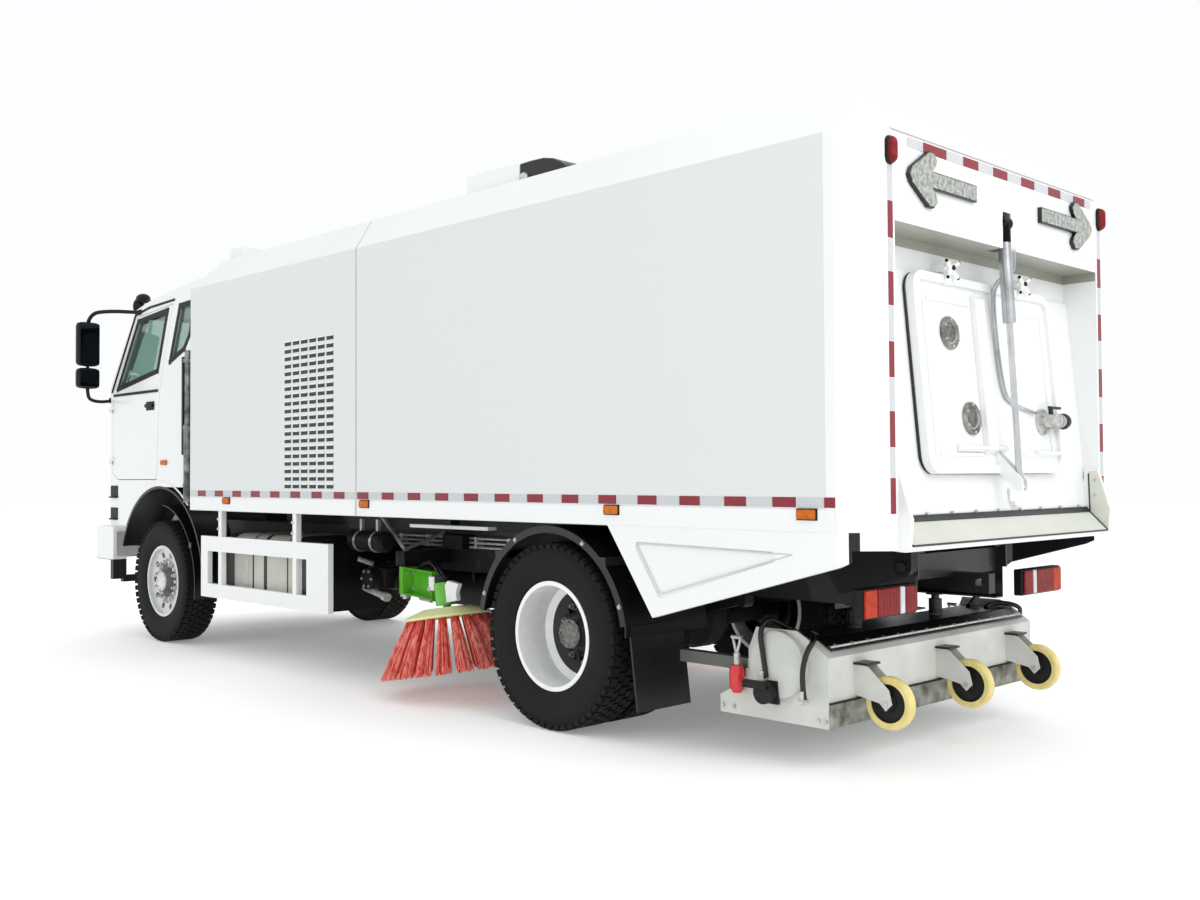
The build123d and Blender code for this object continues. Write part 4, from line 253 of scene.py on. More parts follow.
# Moulded polyethylene of the broom plate: soft yellow-green
broom_plate = mottled_finish("yellow_polyethylene", "caster_cream", ("#E2EA9E", "#F1F5C8"), 0.15, 0.003, 0.0005, 0.5)
# Extruded polypropylene bristle: bright red, with paler streaks along it that are painted highlights
bristle = Finish("polypropylene_bristle", "bristle_red", 0.55, Subsurface_Weight=0.05)
bristle.spots = bristle.add("Mapping", [("Scale", (1, 1, 0.08))], [("Vector", bristle.spots)]).outputs["Vector"]
bristle.mottled(("#D84236", "#F79F8E"), 0.02, 3, 0.34, 0.68).grained(0.003, 0.002, 0.6)
# The imported heart of each tuft, in a darker red that is painted shade in the gaps between the tufts
tuft_heart = mottled_finish("packed_bristle_painted_shade", "bristle_red", ("#A8241C", "#CE4034"), 0.02, 0.003, 0.001, 0.7)
# Cast polyurethane tread: cream
cast_urethane = mottled_finish("cast_polyurethane", "caster_cream", ("#DCC777", "#EBDC98"), 0.06, 0.003, 0.0003, 0.4)
# Woven seat cloth
seat_cloth = mottled_finish("woven_seat_cloth", "seat_fabric", ("#2A2C31", "#3C3F46"), 0.01, 0.003, 0.0012, 0.9,
                            Sheen_Weight=0.3)
# Red enamel of the lubricator pot
red_enamel = mottled_finish("red_enamel", "lamp_red", ("#C8141C", "#DD2A2C"), 0.1, 0.003, 0.0003, 0.3,
                            Coat_Weight=0.5)
# Toughened glass with a green tint
tinted_glass = Finish("toughened_glass", "glass_tint", 0.04, Transmission_Weight=0.92, IOR=1.5)
tinted_glass.mottled(("#B4CFC6", "#C2DAD1"), 1.0)
# Silvered mirror glass, with a dark base colour that is a painted reflection of dark surroundings
mirror_glass = mottled_finish("silvered_glass_painted_reflection", "rod_chrome", ("#20262A", "#2C3438"), 0.5, 0.05, 0.00002, 0.05, 1)
# Encapsulated reflective sheeting of the arrow boards: speckled grey
arrow_film = Finish("speckled_reflective_film", "hood_grey", 0.45)
arrow_film.mottled(("#7C7F79", "#B4B7B0"), 0.022, 8, 0.36, 0.62)
# Ribbed aluminium of the tanks between black end boxes
tank_paint = mottled_finish("tank_sheet_and_boxes", "tank_grey", ("#B9B7AC", "#D2D0C6"), 0.3, 0.003, 0.0002, 0.4, 0.2)
for low, high in ((0.3, 0.76), (0.86, 0.88), (1.165, 1.215), (1.36, 1.385), (1.66, 2.6)):
    tank_paint.within("#0C0C0D", X=(low, high))


def lens_finish(name, slot, colours):
    """Moulded acrylic lens with vertical ribs 12 mm apart."""
    lens = Finish(name, slot, 0.45, Coat_Weight=0.08, Specular_IOR_Level=0.2).mottled(colours, 0.03)
    return lens.embossed(0.002, 0.5, "TexWave", [("Scale", 26), ("Distortion", 0)], bands_direction="Y")


red_lens = lens_finish("red_acrylic", "lamp_red", ("#6A0A0C", "#8E1113"))
amber_lens = lens_finish("amber_acrylic", "lamp_amber", ("#B4500A", "#D2741C"))
orange_lens = lens_finish("orange_acrylic", "lamp_amber", ("#A82408", "#C23A12"))
clear_lens = lens_finish("clear_acrylic", "lamp_clear", ("#C9CFD2", "#E2E6E8"))


def tape_finish(name, slot, colours):
    """Retroreflective sheeting: a honeycomb of 4 mm cells under a clear film."""
    tape = Finish(name, slot, 0.4, Coat_Weight=0.15)
    return tape.patterned(colours, 0.0, 0.12, "TexVoronoi", "Distance", [("Scale", 250)],
                          feature="DISTANCE_TO_EDGE")


red_tape = tape_finish("red_retroreflective_film", "lamp_red", ("#62081A", "#8C0F24"))
white_tape = tape_finish("white_retroreflective_film", "lamp_clear", ("#AEB1B3", "#CDD0D2"))

NODE_FINISHES = {
    white_enamel: "cab_shell door_left door_right side_guards tailgate",
    bumper_enamel: "front_bumper",
    body_enamel: "hopper_body machinery_housing",
    chassis_enamel: "frame_rails leaf_springs hoist_barrels broom_outriggers",
    tube_steel: "gate_cylinder",
    galvanised: "broom_stays",
    bristle: "broom_left broom_right",
    cast_urethane: "caster_left caster_middle caster_right",
    tyre_rubber: "tyre_front_left tyre_front_right tyre_rear_left tyre_rear_right",
    amber_lens: "hopper_lamps",
    red_lens: "chassis_lamps",
    cast_iron: "front_axle rear_axle knuckle_left knuckle_right power_unit aux_engine",
    front_wheel_paint: "rim_front_left rim_front_right",
    rear_wheel_paint: "rim_rear_left rim_rear_right",
    sheet_rubber: "mudguards mud_flaps intake_stack",
    moulded_trim: "dashboard mirrors",
    hard_chrome: "gate_rod hoist_rods",
    grey_enamel: "hopper_roof",
    box_enamel: "pickup_box",
    green_enamel: "broom_arm_left broom_arm_right",
    tinted_glass: "cab_glass door_glass_left door_glass_right",
    seat_cloth: "seats",
    tank_paint: "side_tanks",
    clear_lens: "headlamps",
    arrow_film: "arrow_boards",
}
named = {name for names in NODE_FINISHES.values() for name in names.split()}
assert named == set(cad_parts), named ^ set(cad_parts)
for finish, names in NODE_FINISHES.items():
    for name in names.split():
        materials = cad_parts[name].data.materials
        materials.clear()
        materials.append(finish.material)


# Mesh makers

def box(form, low, high):
    """A block between two corners."""
    size = high - low
    spot = Matrix.Translation((low + high) / 2) @ Matrix.Diagonal((abs(size.x), abs(size.y), abs(size.z), 1))
    bmesh.ops.create_cube(form, size=1, matrix=spot)


def rod(form, start, end, radius, sides=16, end_radius=None):
    """A round bar or cone from one point to another."""
    run = end - start
    spot = Matrix.Translation((start + end) / 2) @ run.to_track_quat("Z", "Y").to_matrix().to_4x4()
    bmesh.ops.create_cone(form, cap_ends=True, segments=sides, radius1=radius,
                          radius2=radius if end_radius is None else end_radius,
                          depth=run.length, matrix=spot)


def boxes(form, side, *rows):
    """Blocks on a side, each from the station, Y and height of two corners."""
    for row in rows:
        box(form, at(row[0], side * row[1], row[2]), at(row[3], side * row[4], row[5]))


def rods(form, side, *rows):
    """Bars on a side, each from two points, a radius, its sides and, on a cone, the other radius."""
    for row in rows:
        rod(form, at(row[0], side * row[1], row[2]), at(row[3], side * row[4], row[5]), *row[6:])


def ball(form, centre, radius, around=20, down=10, stretch=(1, 1, 1)):
    """A ball, or an ellipsoid where it is stretched."""
    bmesh.ops.create_uvsphere(form, u_segments=around, v_segments=down, radius=radius,
                              matrix=Matrix.Translation(centre) @ Matrix.Diagonal((*stretch, 1)))


def slab(form, corners, thickness):
    """A flat outline given a thickness vector."""
    face = form.faces.new([form.verts.new(corner) for corner in corners])
    made = bmesh.ops.extrude_face_region(form, geom=[face])
    moved = [item for item in made["geom"] if isinstance(item, bmesh.types.BMVert)]
    bmesh.ops.translate(form, vec=thickness, verts=moved)


def profile(form, side, y, outline, width):
    """A slab on a side from its Y, an outline of stations and heights, and its width outward."""
    slab(form, [at(station, side * y, z) for station, z in outline], LEFT * side * width)


def path(side, *points):
    """Points on a side."""
    return [at(station, side * y, z) for station, y, z in points]


def bead(form, points, radius, sides=8):
    """Thin bars from point to point."""
    for first, last in zip(points, points[1:]):
        rod(form, first, last, radius, sides)


def bolt_ring(form, centre, across, up, count, run, radius, sides=6):
    """Bolt heads on a circle with two half-axes."""
    for step in range(count):
        turn = math.tau * step / count
        spot = centre + across * math.sin(turn) + up * math.cos(turn)
        rod(form, spot, spot + run, radius, sides)


def vessel(form, side, start, end, y, z, radius, cap, cap_radius):
    """A round tank along the truck, with a cone for each dished end."""
    rods(form, side, (start, y, z, end, y, z, radius, 28), (start, y, z, start - cap, y, z, radius, 28, cap_radius),
         (end, y, z, end + cap, y, z, radius, 28, cap_radius))


def turned(form, outline, centre, axis, steps=48):
    """A closed outline of (along the axis, radius) points, spun about an axis."""
    axis = axis.normalized()
    out = axis.orthogonal().normalized() if abs(axis.z) > 0.9 else UP
    out = (out - axis * out.dot(axis)).normalized()
    ring = [form.verts.new(centre + axis * along + out * radius) for along, radius in outline]
    edges = [form.edges.new(pair) for pair in zip(ring, ring[1:] + ring[:1])]
    bmesh.ops.spin(form, geom=ring + edges, cent=centre, axis=axis, angle=math.tau, steps=steps, use_merge=True)


def place(piece, finish, body, replaced=()):
    """Puts a piece in the scene, on a body and in its finish's material."""
    piece.data.materials.append(finish.material)
    bpy.context.collection.objects.link(piece)
    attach(piece, body)
    if replaced:
        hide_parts(*replaced)


def finish_piece(name, form, finish, body, replaced=(), bevel=0, smooth_angle=35):
    """Turns a bmesh into a named piece that rides on a body."""
    bmesh.ops.remove_doubles(form, verts=form.verts, dist=0.00001)
    bmesh.ops.recalc_face_normals(form, faces=form.faces)
    mesh = bpy.data.meshes.new(name)
    form.to_mesh(mesh)
    form.free()
    mesh.shade_smooth()
    mesh.set_sharp_from_angle(angle=math.radians(smooth_angle))
    piece = bpy.data.objects.new(name, mesh)
    if bevel:
        rounding = piece.modifiers.new("rounding", "BEVEL")
        rounding.width = bevel
        rounding.segments = 2
        rounding.limit_method = "ANGLE"
    place(piece, finish, body, replaced)


def simple_piece(name, finish, body, side=1, blocks=(), bars=(), **look):
    """A piece of blocks and bars on one side."""
    form = bmesh.new()
    boxes(form, side, *blocks)
    rods(form, side, *bars)
    finish_piece(name, form, finish, body, **look)


def hose(name, points, radius, finish, body):
    """A fixed hose or pipe that runs smoothly through its points."""
    curve = bpy.data.curves.new(name, "CURVE")
    curve.dimensions = "3D"
    curve.bevel_depth = radius
    curve.bevel_resolution = 3
    curve.use_fill_caps = True
    spline = curve.splines.new("NURBS")
    spline.points.add(len(points) - 1)
    for knot, point in zip(spline.points, points):
        knot.co = (*point, 1)
    spline.order_u = 3
    spline.use_endpoint_u = True
    place(bpy.data.objects.new(name, curve), finish, body)


# Tyres: a carcass with a bead rib, and rows of tread blocks around it

TREAD_BLOCKS = 54
BLOCK_ROWS = ((0.094, 0.042), (0.049, 0.034), (0.0, 0.040), (-0.049, 0.034), (-0.094, 0.042))
CARCASS = [(0.104, 0.2866), (0.112, 0.305), (0.118, 0.307), (0.128, 0.330), (0.1365, 0.375), (0.138, 0.400),
           (0.1365, 0.425), (0.1375, 0.428), (0.132, 0.452), (0.124, 0.476), (0.115, 0.490), (0.096, 0.4965),
           (0.0, 0.4985)]
CARCASS += [(-y, radius) for y, radius in reversed(CARCASS[:-1])]
TYRES = [("front_left", FRONT_AXLE, 1, (1.0,)), ("front_right", FRONT_AXLE, -1, (1.0,)),
         ("rear_left", 0, 1, (0.765, 1.090)), ("rear_right", 0, -1, (0.765, 1.090))]


def lug(form, hub, turn, y, radius, lean, sizes):
    """A tread block, turned about the axle and leaned where it stands."""
    bmesh.ops.create_cube(form, size=1, matrix=(
        Matrix.Translation(hub) @ Matrix.Rotation(turn, 4, "Y") @ Matrix.Translation((0, y, radius))
        @ lean @ Matrix.Diagonal((*sizes, 1))))


for wheel, station, side, middles in TYRES:
    form = bmesh.new()
    for middle in middles:
        hub = at(station, side * middle, AXLE_Z)
        turned(form, CARCASS, hub, LEFT, 72)
        for step in range(TREAD_BLOCKS):
            for row, (row_y, row_width) in enumerate(BLOCK_ROWS):
                lug(form, hub, math.tau * (step + 0.5 * (row % 2)) / TREAD_BLOCKS, row_y, 0.4995,
                    Matrix.Rotation(0.25 if row % 2 else -0.18, 4, "Z"),
                    (0.046 if row in (0, 4) else 0.040, row_width, 0.0165))
            # Shoulder lugs that reach down the sidewall
            for edge in (1, -1):
                lug(form, hub, math.tau * step / TREAD_BLOCKS, edge * 0.1235, 0.4845,
                    Matrix.Rotation(edge * -0.62, 4, "X"), (0.040, 0.016, 0.034))
    finish_piece(f"tyre_tread_{wheel}", form, tyre_rubber, f"wheel_{wheel}", (f"tyre_{wheel}",))

# Wheel nuts and hub caps
for wheel, station, side, middles in TYRES:
    rear = len(middles) > 1
    out = LEFT * side
    form = bmesh.new()
    face = at(station, side * (0.9275 if rear else 1.061), AXLE_Z)
    for length, radius, sides in ((0.030, 0.019, 6), (0.048, 0.010, 10), (0.006, 0.025, 14)):
        bolt_ring(form, face, AHEAD * 0.167, UP * 0.167, 10, out * length, radius, sides)
    finish_piece(f"wheel_nuts_{wheel}", form, hub_steel if rear else zinc_plate, f"wheel_{wheel}", bevel=0.001)
    form = bmesh.new()
    hub = at(station, side * (1.0595 if rear else 1.115), AXLE_Z)
    turned(form, [(0, 0), (0, 0.080), (side * 0.012, 0.080), (side * 0.016, 0.070), (side * 0.018, 0.0)], hub, LEFT,
           40)
    bolt_ring(form, hub + out * 0.010, AHEAD * 0.066, UP * 0.066, 8, out * 0.012, 0.008)
    finish_piece(f"hub_cap_{wheel}", form, hub_steel if rear else wheel_paint, f"wheel_{wheel}")


# Body sides: reflective tape, louvres and marker lamps

SIDE_Y = 1.250
TAPE_LOW, TAPE_HIGH = 1.233, 1.278
TAPE_START, TAPE_PITCH, TAPE_RED = 1.133, 0.281, 0.130
TAPE_GAP, TAPE_THICKNESS = 0.004, 0.0015
BODY_RUNS = (("hopper", "hopper", -1.885, 1.828, 1.828), ("housing", "chassis", 1.853, 4.195, 4.19))
LOUVRE_HALF = 0.043


def tape_forms():
    """A form for the red and one for the white of a tape."""
    return {red_tape: bmesh.new(), white_tape: bmesh.new()}


def finish_tape(name, forms, body):
    """The tape's two pieces."""
    finish_piece(f"{name}_red", forms[red_tape], red_tape, body)
    finish_piece(f"{name}_white", forms[white_tape], white_tape, body)


for side, word in SIDES:
    for name, body, start, end, _ in BODY_RUNS:
        forms = tape_forms()
        for step in range(math.floor((start - TAPE_START) / TAPE_PITCH),
                          math.ceil((end - TAPE_START) / TAPE_PITCH) + 1):
            red = TAPE_START + step * TAPE_PITCH
            for finish, low, high in ((red_tape, red, red + TAPE_RED),
                                      (white_tape, red + TAPE_RED + TAPE_GAP, red + TAPE_PITCH - TAPE_GAP)):
                low, high = max(low, start), min(high, end)
                if high - low > 0.02:
                    boxes(forms[finish], side, (low, SIDE_Y, TAPE_LOW, high, SIDE_Y + TAPE_THICKNESS, TAPE_HIGH))
        finish_tape(f"{name}_tape_{word}", forms, body)

    # Pressed louvres: a hood over each slot, whose black is painted shade in the opening, six columns of twenty
    hoods, slots = bmesh.new(), bmesh.new()
    for column in range(6):
        for row in range(20):
            back = 2.10 + 0.66 * (column + 0.5) / 6 - LOUVRE_HALF
            low = 1.300 + 1.0 * row / 19
            boxes(slots, side, (back, SIDE_Y, low, back + 2 * LOUVRE_HALF, SIDE_Y + 0.0012, low + 0.027))
            slab(hoods, path(side, (back, SIDE_Y, low + 0.036), (back, SIDE_Y + 0.006, low + 0.026),
                             (back, SIDE_Y + 0.005, low + 0.024), (back, SIDE_Y, low + 0.031)),
                 AHEAD * 2 * LOUVRE_HALF)
    finish_piece(f"louvre_hoods_{word}", hoods, white_enamel, "chassis", bevel=0.0015)
    # The slots' black is painted shade inside the openings
    finish_piece(f"louvre_slot_shade_{word}", slots, chassis_enamel, "chassis")
    # Edge rail along the foot of the side
    for name, body, start, _, end in BODY_RUNS:
        simple_piece(f"{name}_edge_rail_{word}", white_enamel, body, side,
                     [(start, SIDE_Y, 1.126, end, SIDE_Y + 0.003, 1.222)], bevel=0.0015)

# Lamps on the body: amber side markers and red capsules at the top corners
for name, body, stations, replaced in (("hopper", "hopper", (1.737, -0.522, -1.738), ("hopper_lamps",)),
                                       ("housing", "chassis", (3.600,), ())):
    bases, lenses = bmesh.new(), bmesh.new()
    for side, _ in SIDES:
        for station in stations:
            boxes(bases, side, (station - 0.056, SIDE_Y, 1.176, station + 0.056, 1.256, 1.229))
            boxes(lenses, side, (station - 0.051, 1.256, 1.181, station + 0.051, 1.268, 1.224))
    finish_piece(f"{name}_marker_bezels", bases, moulded_trim, body, bevel=0.002)
    finish_piece(f"{name}_marker_lenses", lenses, amber_lens, body, replaced, bevel=0.006)

for name, finish, station, radius in (("bases", moulded_trim, -2.050, 0.034), ("lenses", red_lens, -2.060, 0.030)):
    form = bmesh.new()
    for side, _ in SIDES:
        low, high = path(side, (station, 1.06, 2.756), (station, 1.06, 2.816))
        rod(form, low, high, radius, 20)
        ball(form, low, radius)
        ball(form, high, radius)
    finish_piece(f"top_lamp_{name}", form, finish, "hopper")


# Rear end: tape, arrow boards and the tailgate's fittings

REAR_X = -2.050
SIDE_REDS = ((2.404, 2.566), (2.110, 2.257), (1.797, 1.953), (1.494, 1.650), (1.206, 1.361))
TOP_REDS = ((0.777, 0.576), (0.421, 0.279), (0.132, -0.010), (-0.156, -0.297), (-0.454, -0.593), (-0.748, -0.883))
TOP_TAPE = (2.828, 2.873)
forms = tape_forms()


def rear_tape(finish, start_y, end_y, low, high):
    """A length of tape on the rear face."""
    boxes(forms[finish], 1, (REAR_X - TAPE_THICKNESS, start_y, low, REAR_X, end_y, high))


for side, _ in SIDES:
    edge = 2.730
    for low, high in SIDE_REDS:
        rear_tape(red_tape, side * 1.036, side * 1.076, low, high)
        rear_tape(white_tape, side * 1.036, side * 1.076, high + TAPE_GAP, edge - TAPE_GAP)
        edge = low
edge = 0.919
for high, low in TOP_REDS:
    rear_tape(red_tape, low, high, *TOP_TAPE)
    rear_tape(white_tape, high + TAPE_GAP, edge - TAPE_GAP, *TOP_TAPE)
    edge = low
rear_tape(white_tape, -0.960, edge - TAPE_GAP, *TOP_TAPE)
finish_tape("rear_tape", forms, "hopper")

ARROW_Z = 2.705


def arrow_outline(side, grow, station):
    """The arrow board's outline, drawn out by a margin."""
    tip, neck, tail = 0.929 + grow, 0.735, 0.330 - grow
    head, shaft = 0.127 + grow, 0.040 + grow
    points = [(tip, 0), (tip - 0.02, 0.035), (0.765 + grow / 2, head), (0.722, head), (0.690 - grow, head - 0.03),
              (0.700 - grow, head - 0.055), (neck - grow, shaft), (tail, shaft)]
    points += [(y, -z) for y, z in reversed(points) if z]
    return path(side, *((station, y, ARROW_Z + z) for y, z in points))


backs, faces = bmesh.new(), bmesh.new()
for side, _ in SIDES:
    slab(backs, arrow_outline(side, 0.0, REAR_X - 0.0003), AHEAD * -0.020)
    slab(faces, arrow_outline(side, -0.006, REAR_X - 0.020), AHEAD * -0.0035)
finish_piece("arrow_backs", backs, sheet_rubber, "hopper", ("arrow_boards",), bevel=0.002)
finish_piece("arrow_faces", faces, arrow_film, "hopper")

GATE_LEAN = 0.0933
GATE_OUT = Vector((-1, 0, GATE_LEAN)).normalized()
GATE_UP = Vector((GATE_LEAN, 0, 1)).normalized()


def on_gate(y, z, proud=0.0):
    """A point on the tailgate's sunken face, or proud of it."""
    return at(-1.9106 - GATE_LEAN * (2.327 - z), y, z) + GATE_OUT * proud


# Sight glasses: flanged rings with a bolted glass
rings, glasses, bolts = bmesh.new(), bmesh.new(), bmesh.new()
for y, z in ((0.376, 2.051), (0.244, 1.643)):
    turned(rings, [(0, 0.050), (0, 0.080), (0.013, 0.080), (0.017, 0.074), (0.017, 0.056), (0.010, 0.050)],
           on_gate(y, z), GATE_OUT, 40)
    rod(glasses, on_gate(y, z), on_gate(y, z, 0.008), 0.051, 32)
    bolt_ring(bolts, on_gate(y, z, 0.017), LEFT * 0.066, GATE_UP * 0.066, 6, GATE_OUT * 0.007, 0.007)
finish_piece("sight_rings", rings, worn_steel, "tailgate")
finish_piece("sight_glasses", glasses, hub_steel, "tailgate")

# Drain valve on the right of the gate: flange, elbow, cock and cap
valve, caps = bmesh.new(), bmesh.new()
flange = on_gate(-0.500, 1.646)
turned(valve, [(0, 0), (0, 0.070), (0.013, 0.070), (0.016, 0.045), (0.016, 0)], flange, GATE_OUT, 32)
valve_head = flange + GATE_OUT * 0.056
cock = valve_head + GATE_UP * 0.070
rod(valve, flange, valve_head + GATE_OUT * 0.032, 0.033, 24)
rod(valve, valve_head + LEFT * 0.034, valve_head - LEFT * 0.112, 0.033, 24)
for reach in (0.030, 0.070):
    rod(valve, valve_head - LEFT * reach, valve_head - LEFT * (reach + 0.012), 0.039, 24)
turned(caps, [(0, 0), (0, 0.040), (0.020, 0.044), (0.034, 0.040), (0.038, 0)], valve_head - LEFT * 0.112, -LEFT, 24)
rod(caps, valve_head, valve_head + GATE_UP * 0.075, 0.012, 12)
rod(caps, cock + LEFT * 0.015, cock - LEFT * 0.110, 0.008, 12)
bolt_ring(bolts, flange + GATE_OUT * 0.013, LEFT * 0.057, GATE_UP * 0.057, 6, GATE_OUT * 0.010, 0.007)
finish_piece("drain_valve", valve, zinc_plate, "tailgate")
finish_piece("drain_cap", caps, chassis_enamel, "tailgate")
finish_piece("gate_bolts", bolts, zinc_plate, "tailgate")

# Rubber seal around the tailgate
half, low, high, corner = 0.692, 1.383, 2.323, 0.09
outline = []
for quarter, (across, middle) in enumerate(((1, high - corner), (-1, high - corner), (-1, low + corner),
                                            (1, low + corner))):
    for step in range(7):
        turn = math.pi / 2 * (quarter + step / 6)
        outline.append((across * (half - corner) + corner * math.cos(turn), middle + corner * math.sin(turn)))
hose("gate_seal", [on_gate(y, z, -0.028) for y, z in outline + outline[:2]], 0.007, sheet_rubber, "hopper")

# Pressed beads in its pan
beads = bmesh.new()
for first, last in (((0.590, 1.47), (0.590, 2.20)), ((-0.590, 1.47), (-0.590, 2.20)),
                    ((0.130, 1.47), (0.130, 2.24)), ((-0.230, 1.47), (-0.230, 2.24)),
                    ((0.16, 2.205), (0.56, 2.205)), ((-0.56, 2.205), (-0.26, 2.205)),
                    ((0.16, 1.470), (0.56, 1.470)), ((-0.56, 1.470), (-0.26, 1.470))):
    rod(beads, on_gate(*first, 0.002), on_gate(*last, 0.002), 0.009, 8)
finish_piece("gate_beads", beads, white_enamel, "tailgate")

# Hinge clamps: a star of four arms over each knuckle
stars, bolts = bmesh.new(), bmesh.new()
for side, _ in SIDES:
    middle = at(-1.942, side * 0.365, 2.362)
    for turn in (0.5, 2.6, 3.9, 5.5):
        arm = Vector((-0.25, math.cos(turn), math.sin(turn))).normalized()
        rod(stars, middle, middle + arm * 0.064, 0.018, 10, 0.011)
        rod(bolts, middle + arm * 0.060, middle + arm * 0.072, 0.008, 6)
    rod(bolts, middle + GATE_OUT * 0.010, middle + GATE_OUT * 0.026, 0.012, 8)
finish_piece("hinge_clamps", stars, white_enamel, "tailgate", bevel=0.002)
finish_piece("hinge_clamp_bolts", bolts, cast_iron, "tailgate")

# Chute: a rubber strip and bolts at its top edge, and its lining
strip, bolts, lining = bmesh.new(), bmesh.new(), bmesh.new()
profile(strip, 1, -0.998, ((-1.985, 1.190), (-1.987, 1.178), (-2.004, 1.160), (-2.010, 1.168), (-1.995, 1.182),
                           (-1.991, 1.192)), 1.996)
rods(strip, 1, (-2.106, -0.990, 1.0660, -2.106, 0.990, 1.0660, 0.0045, 8))
profile(lining, 1, -0.990, ((-2.005, 1.1605), (-2.1045, 1.0635), (-2.1060, 1.0650), (-2.0065, 1.1620)), 1.980)
for step in range(9):
    spot = at(-1.984, -0.9 + 1.8 * step / 8, 1.196)
    rod(bolts, spot, spot + GATE_OUT * 0.010, 0.008, 6)
for side, _ in SIDES:
    rods(strip, side, (-2.006, 0.994, 1.164, -2.106, 0.994, 1.0665, 0.0045, 8),
         (-2.000, 0.9985, 1.375, -2.006, 0.9985, 1.170, 0.004, 8))
    profile(lining, side, 0.9995, ((-1.996, 1.385), (-2.047, 1.390), (-2.113, 1.178), (-2.104, 1.068),
                                   (-2.008, 1.165)), -0.001)
    for z in (1.26, 1.34):
        rods(bolts, side, (-2.035, 0.9985, z, -2.035, 0.9905, z, 0.008, 6))
finish_piece("chute_strip", strip, sheet_rubber, "hopper")
finish_piece("chute_bolts", bolts, zinc_plate, "hopper")
finish_piece("chute_lining", lining, cream_enamel, "hopper")

# Tail lamps: a black housing with ribbed lens segments
housings = bmesh.new()
segments = {orange_lens: bmesh.new(), red_lens: bmesh.new(), clear_lens: bmesh.new()}
for side, _ in SIDES:
    boxes(housings, side, (-1.790, 0.527, 0.722, -1.838, 0.980, 0.862))
    edge = 0.972
    for finish, width in ((orange_lens, 0.100), (red_lens, 0.190), (clear_lens, 0.042), (red_lens, 0.100)):
        boxes(segments[finish], side, (-1.836, edge - width + 0.002, 0.729, -1.850, edge - 0.002, 0.855))
        edge -= width
finish_piece("tail_lamp_housings", housings, moulded_trim, "chassis", ("chassis_lamps",), bevel=0.006)
for (finish, form), word in zip(segments.items(), ("amber", "red", "clear")):
    finish_piece(f"tail_lamp_{word}", form, finish, "chassis", bevel=0.005)


# Pick-up box: drum ends, motors, skirt strips, cover and hoses

BOX_Y = 0.985
MOTOR_Y = 1.015
drums, blacks, zincs, skirts, covers, pots, valves = (bmesh.new() for _ in range(7))
for side, word in SIDES:
    turned(drums, [(0, 0), (0, 0.160), (side * 0.006, 0.150), (side * 0.014, 0.090), (side * 0.016, 0)],
           at(-1.380, side * MOTOR_Y, 0.480), LEFT, 40)
    # Hydraulic motor with its mounting flange
    rods(blacks, side, (-1.345, MOTOR_Y, 0.352, -1.345, MOTOR_Y + 0.068, 0.352, 0.053, 24))
    boxes(blacks, side, (-1.400, MOTOR_Y, 0.297, -1.290, MOTOR_Y + 0.020, 0.407),
          (-1.380, MOTOR_Y + 0.060, 0.372, -1.245, MOTOR_Y + 0.090, 0.407))
    for station, z in ((-1.555, 0.332), (-1.325, 0.402)):
        rods(zincs, side, (station, MOTOR_Y, z, station, MOTOR_Y + 0.060, z, 0.017, 6),
             (station, MOTOR_Y + 0.045, z, station, MOTOR_Y + 0.045, z + 0.05, 0.012, 12))
    # Two vertical slots, and bolts along the foot
    for station in (-1.235, -1.500):
        boxes(blacks, side, (station - 0.006, BOX_Y, 0.43, station + 0.006, BOX_Y + 0.002, 0.56))
    for station in (-1.03, -1.10, -1.60, -1.64):
        rods(zincs, side, (station, BOX_Y, 0.245, station, BOX_Y + 0.012, 0.245, 0.010, 6))
    # Lubricator pot with its valves on the outside of the end plate
    boxes(drums, side, (-1.200, 0.972, 0.300, -1.100, 0.986, 0.440))
    turned(pots, [(-0.085, 0), (-0.082, 0.022), (-0.055, 0.036), (0.02, 0.038), (0.05, 0.030), (0.06, 0.0)],
           at(-1.145, side * 1.020, 0.405), UP, 24)
    rods(valves, side, (-1.145, 1.020, 0.455, -1.145, 1.020, 0.515, 0.016, 12),
         (-1.145, 1.020, 0.505, -1.170, 1.020, 0.590, 0.007, 10),
         (-1.145, 1.020, 0.505, -1.120, 1.020, 0.590, 0.007, 10),
         (-1.175, 1.020, 0.590, -1.115, 1.020, 0.590, 0.010, 12),
         (-1.145, 1.020, 0.405, -1.145, 0.975, 0.405, 0.014, 12))
# Galvanised skirt strips and their top rubber
boxes(skirts, 1, (-1.664, -BOX_Y, 0.212, -1.655, BOX_Y, 0.323), (-1.190, -0.97, 0.212, -1.182, 0.97, 0.323))
boxes(blacks, 1, (-1.668, -BOX_Y, 0.323, -1.655, BOX_Y, 0.331))
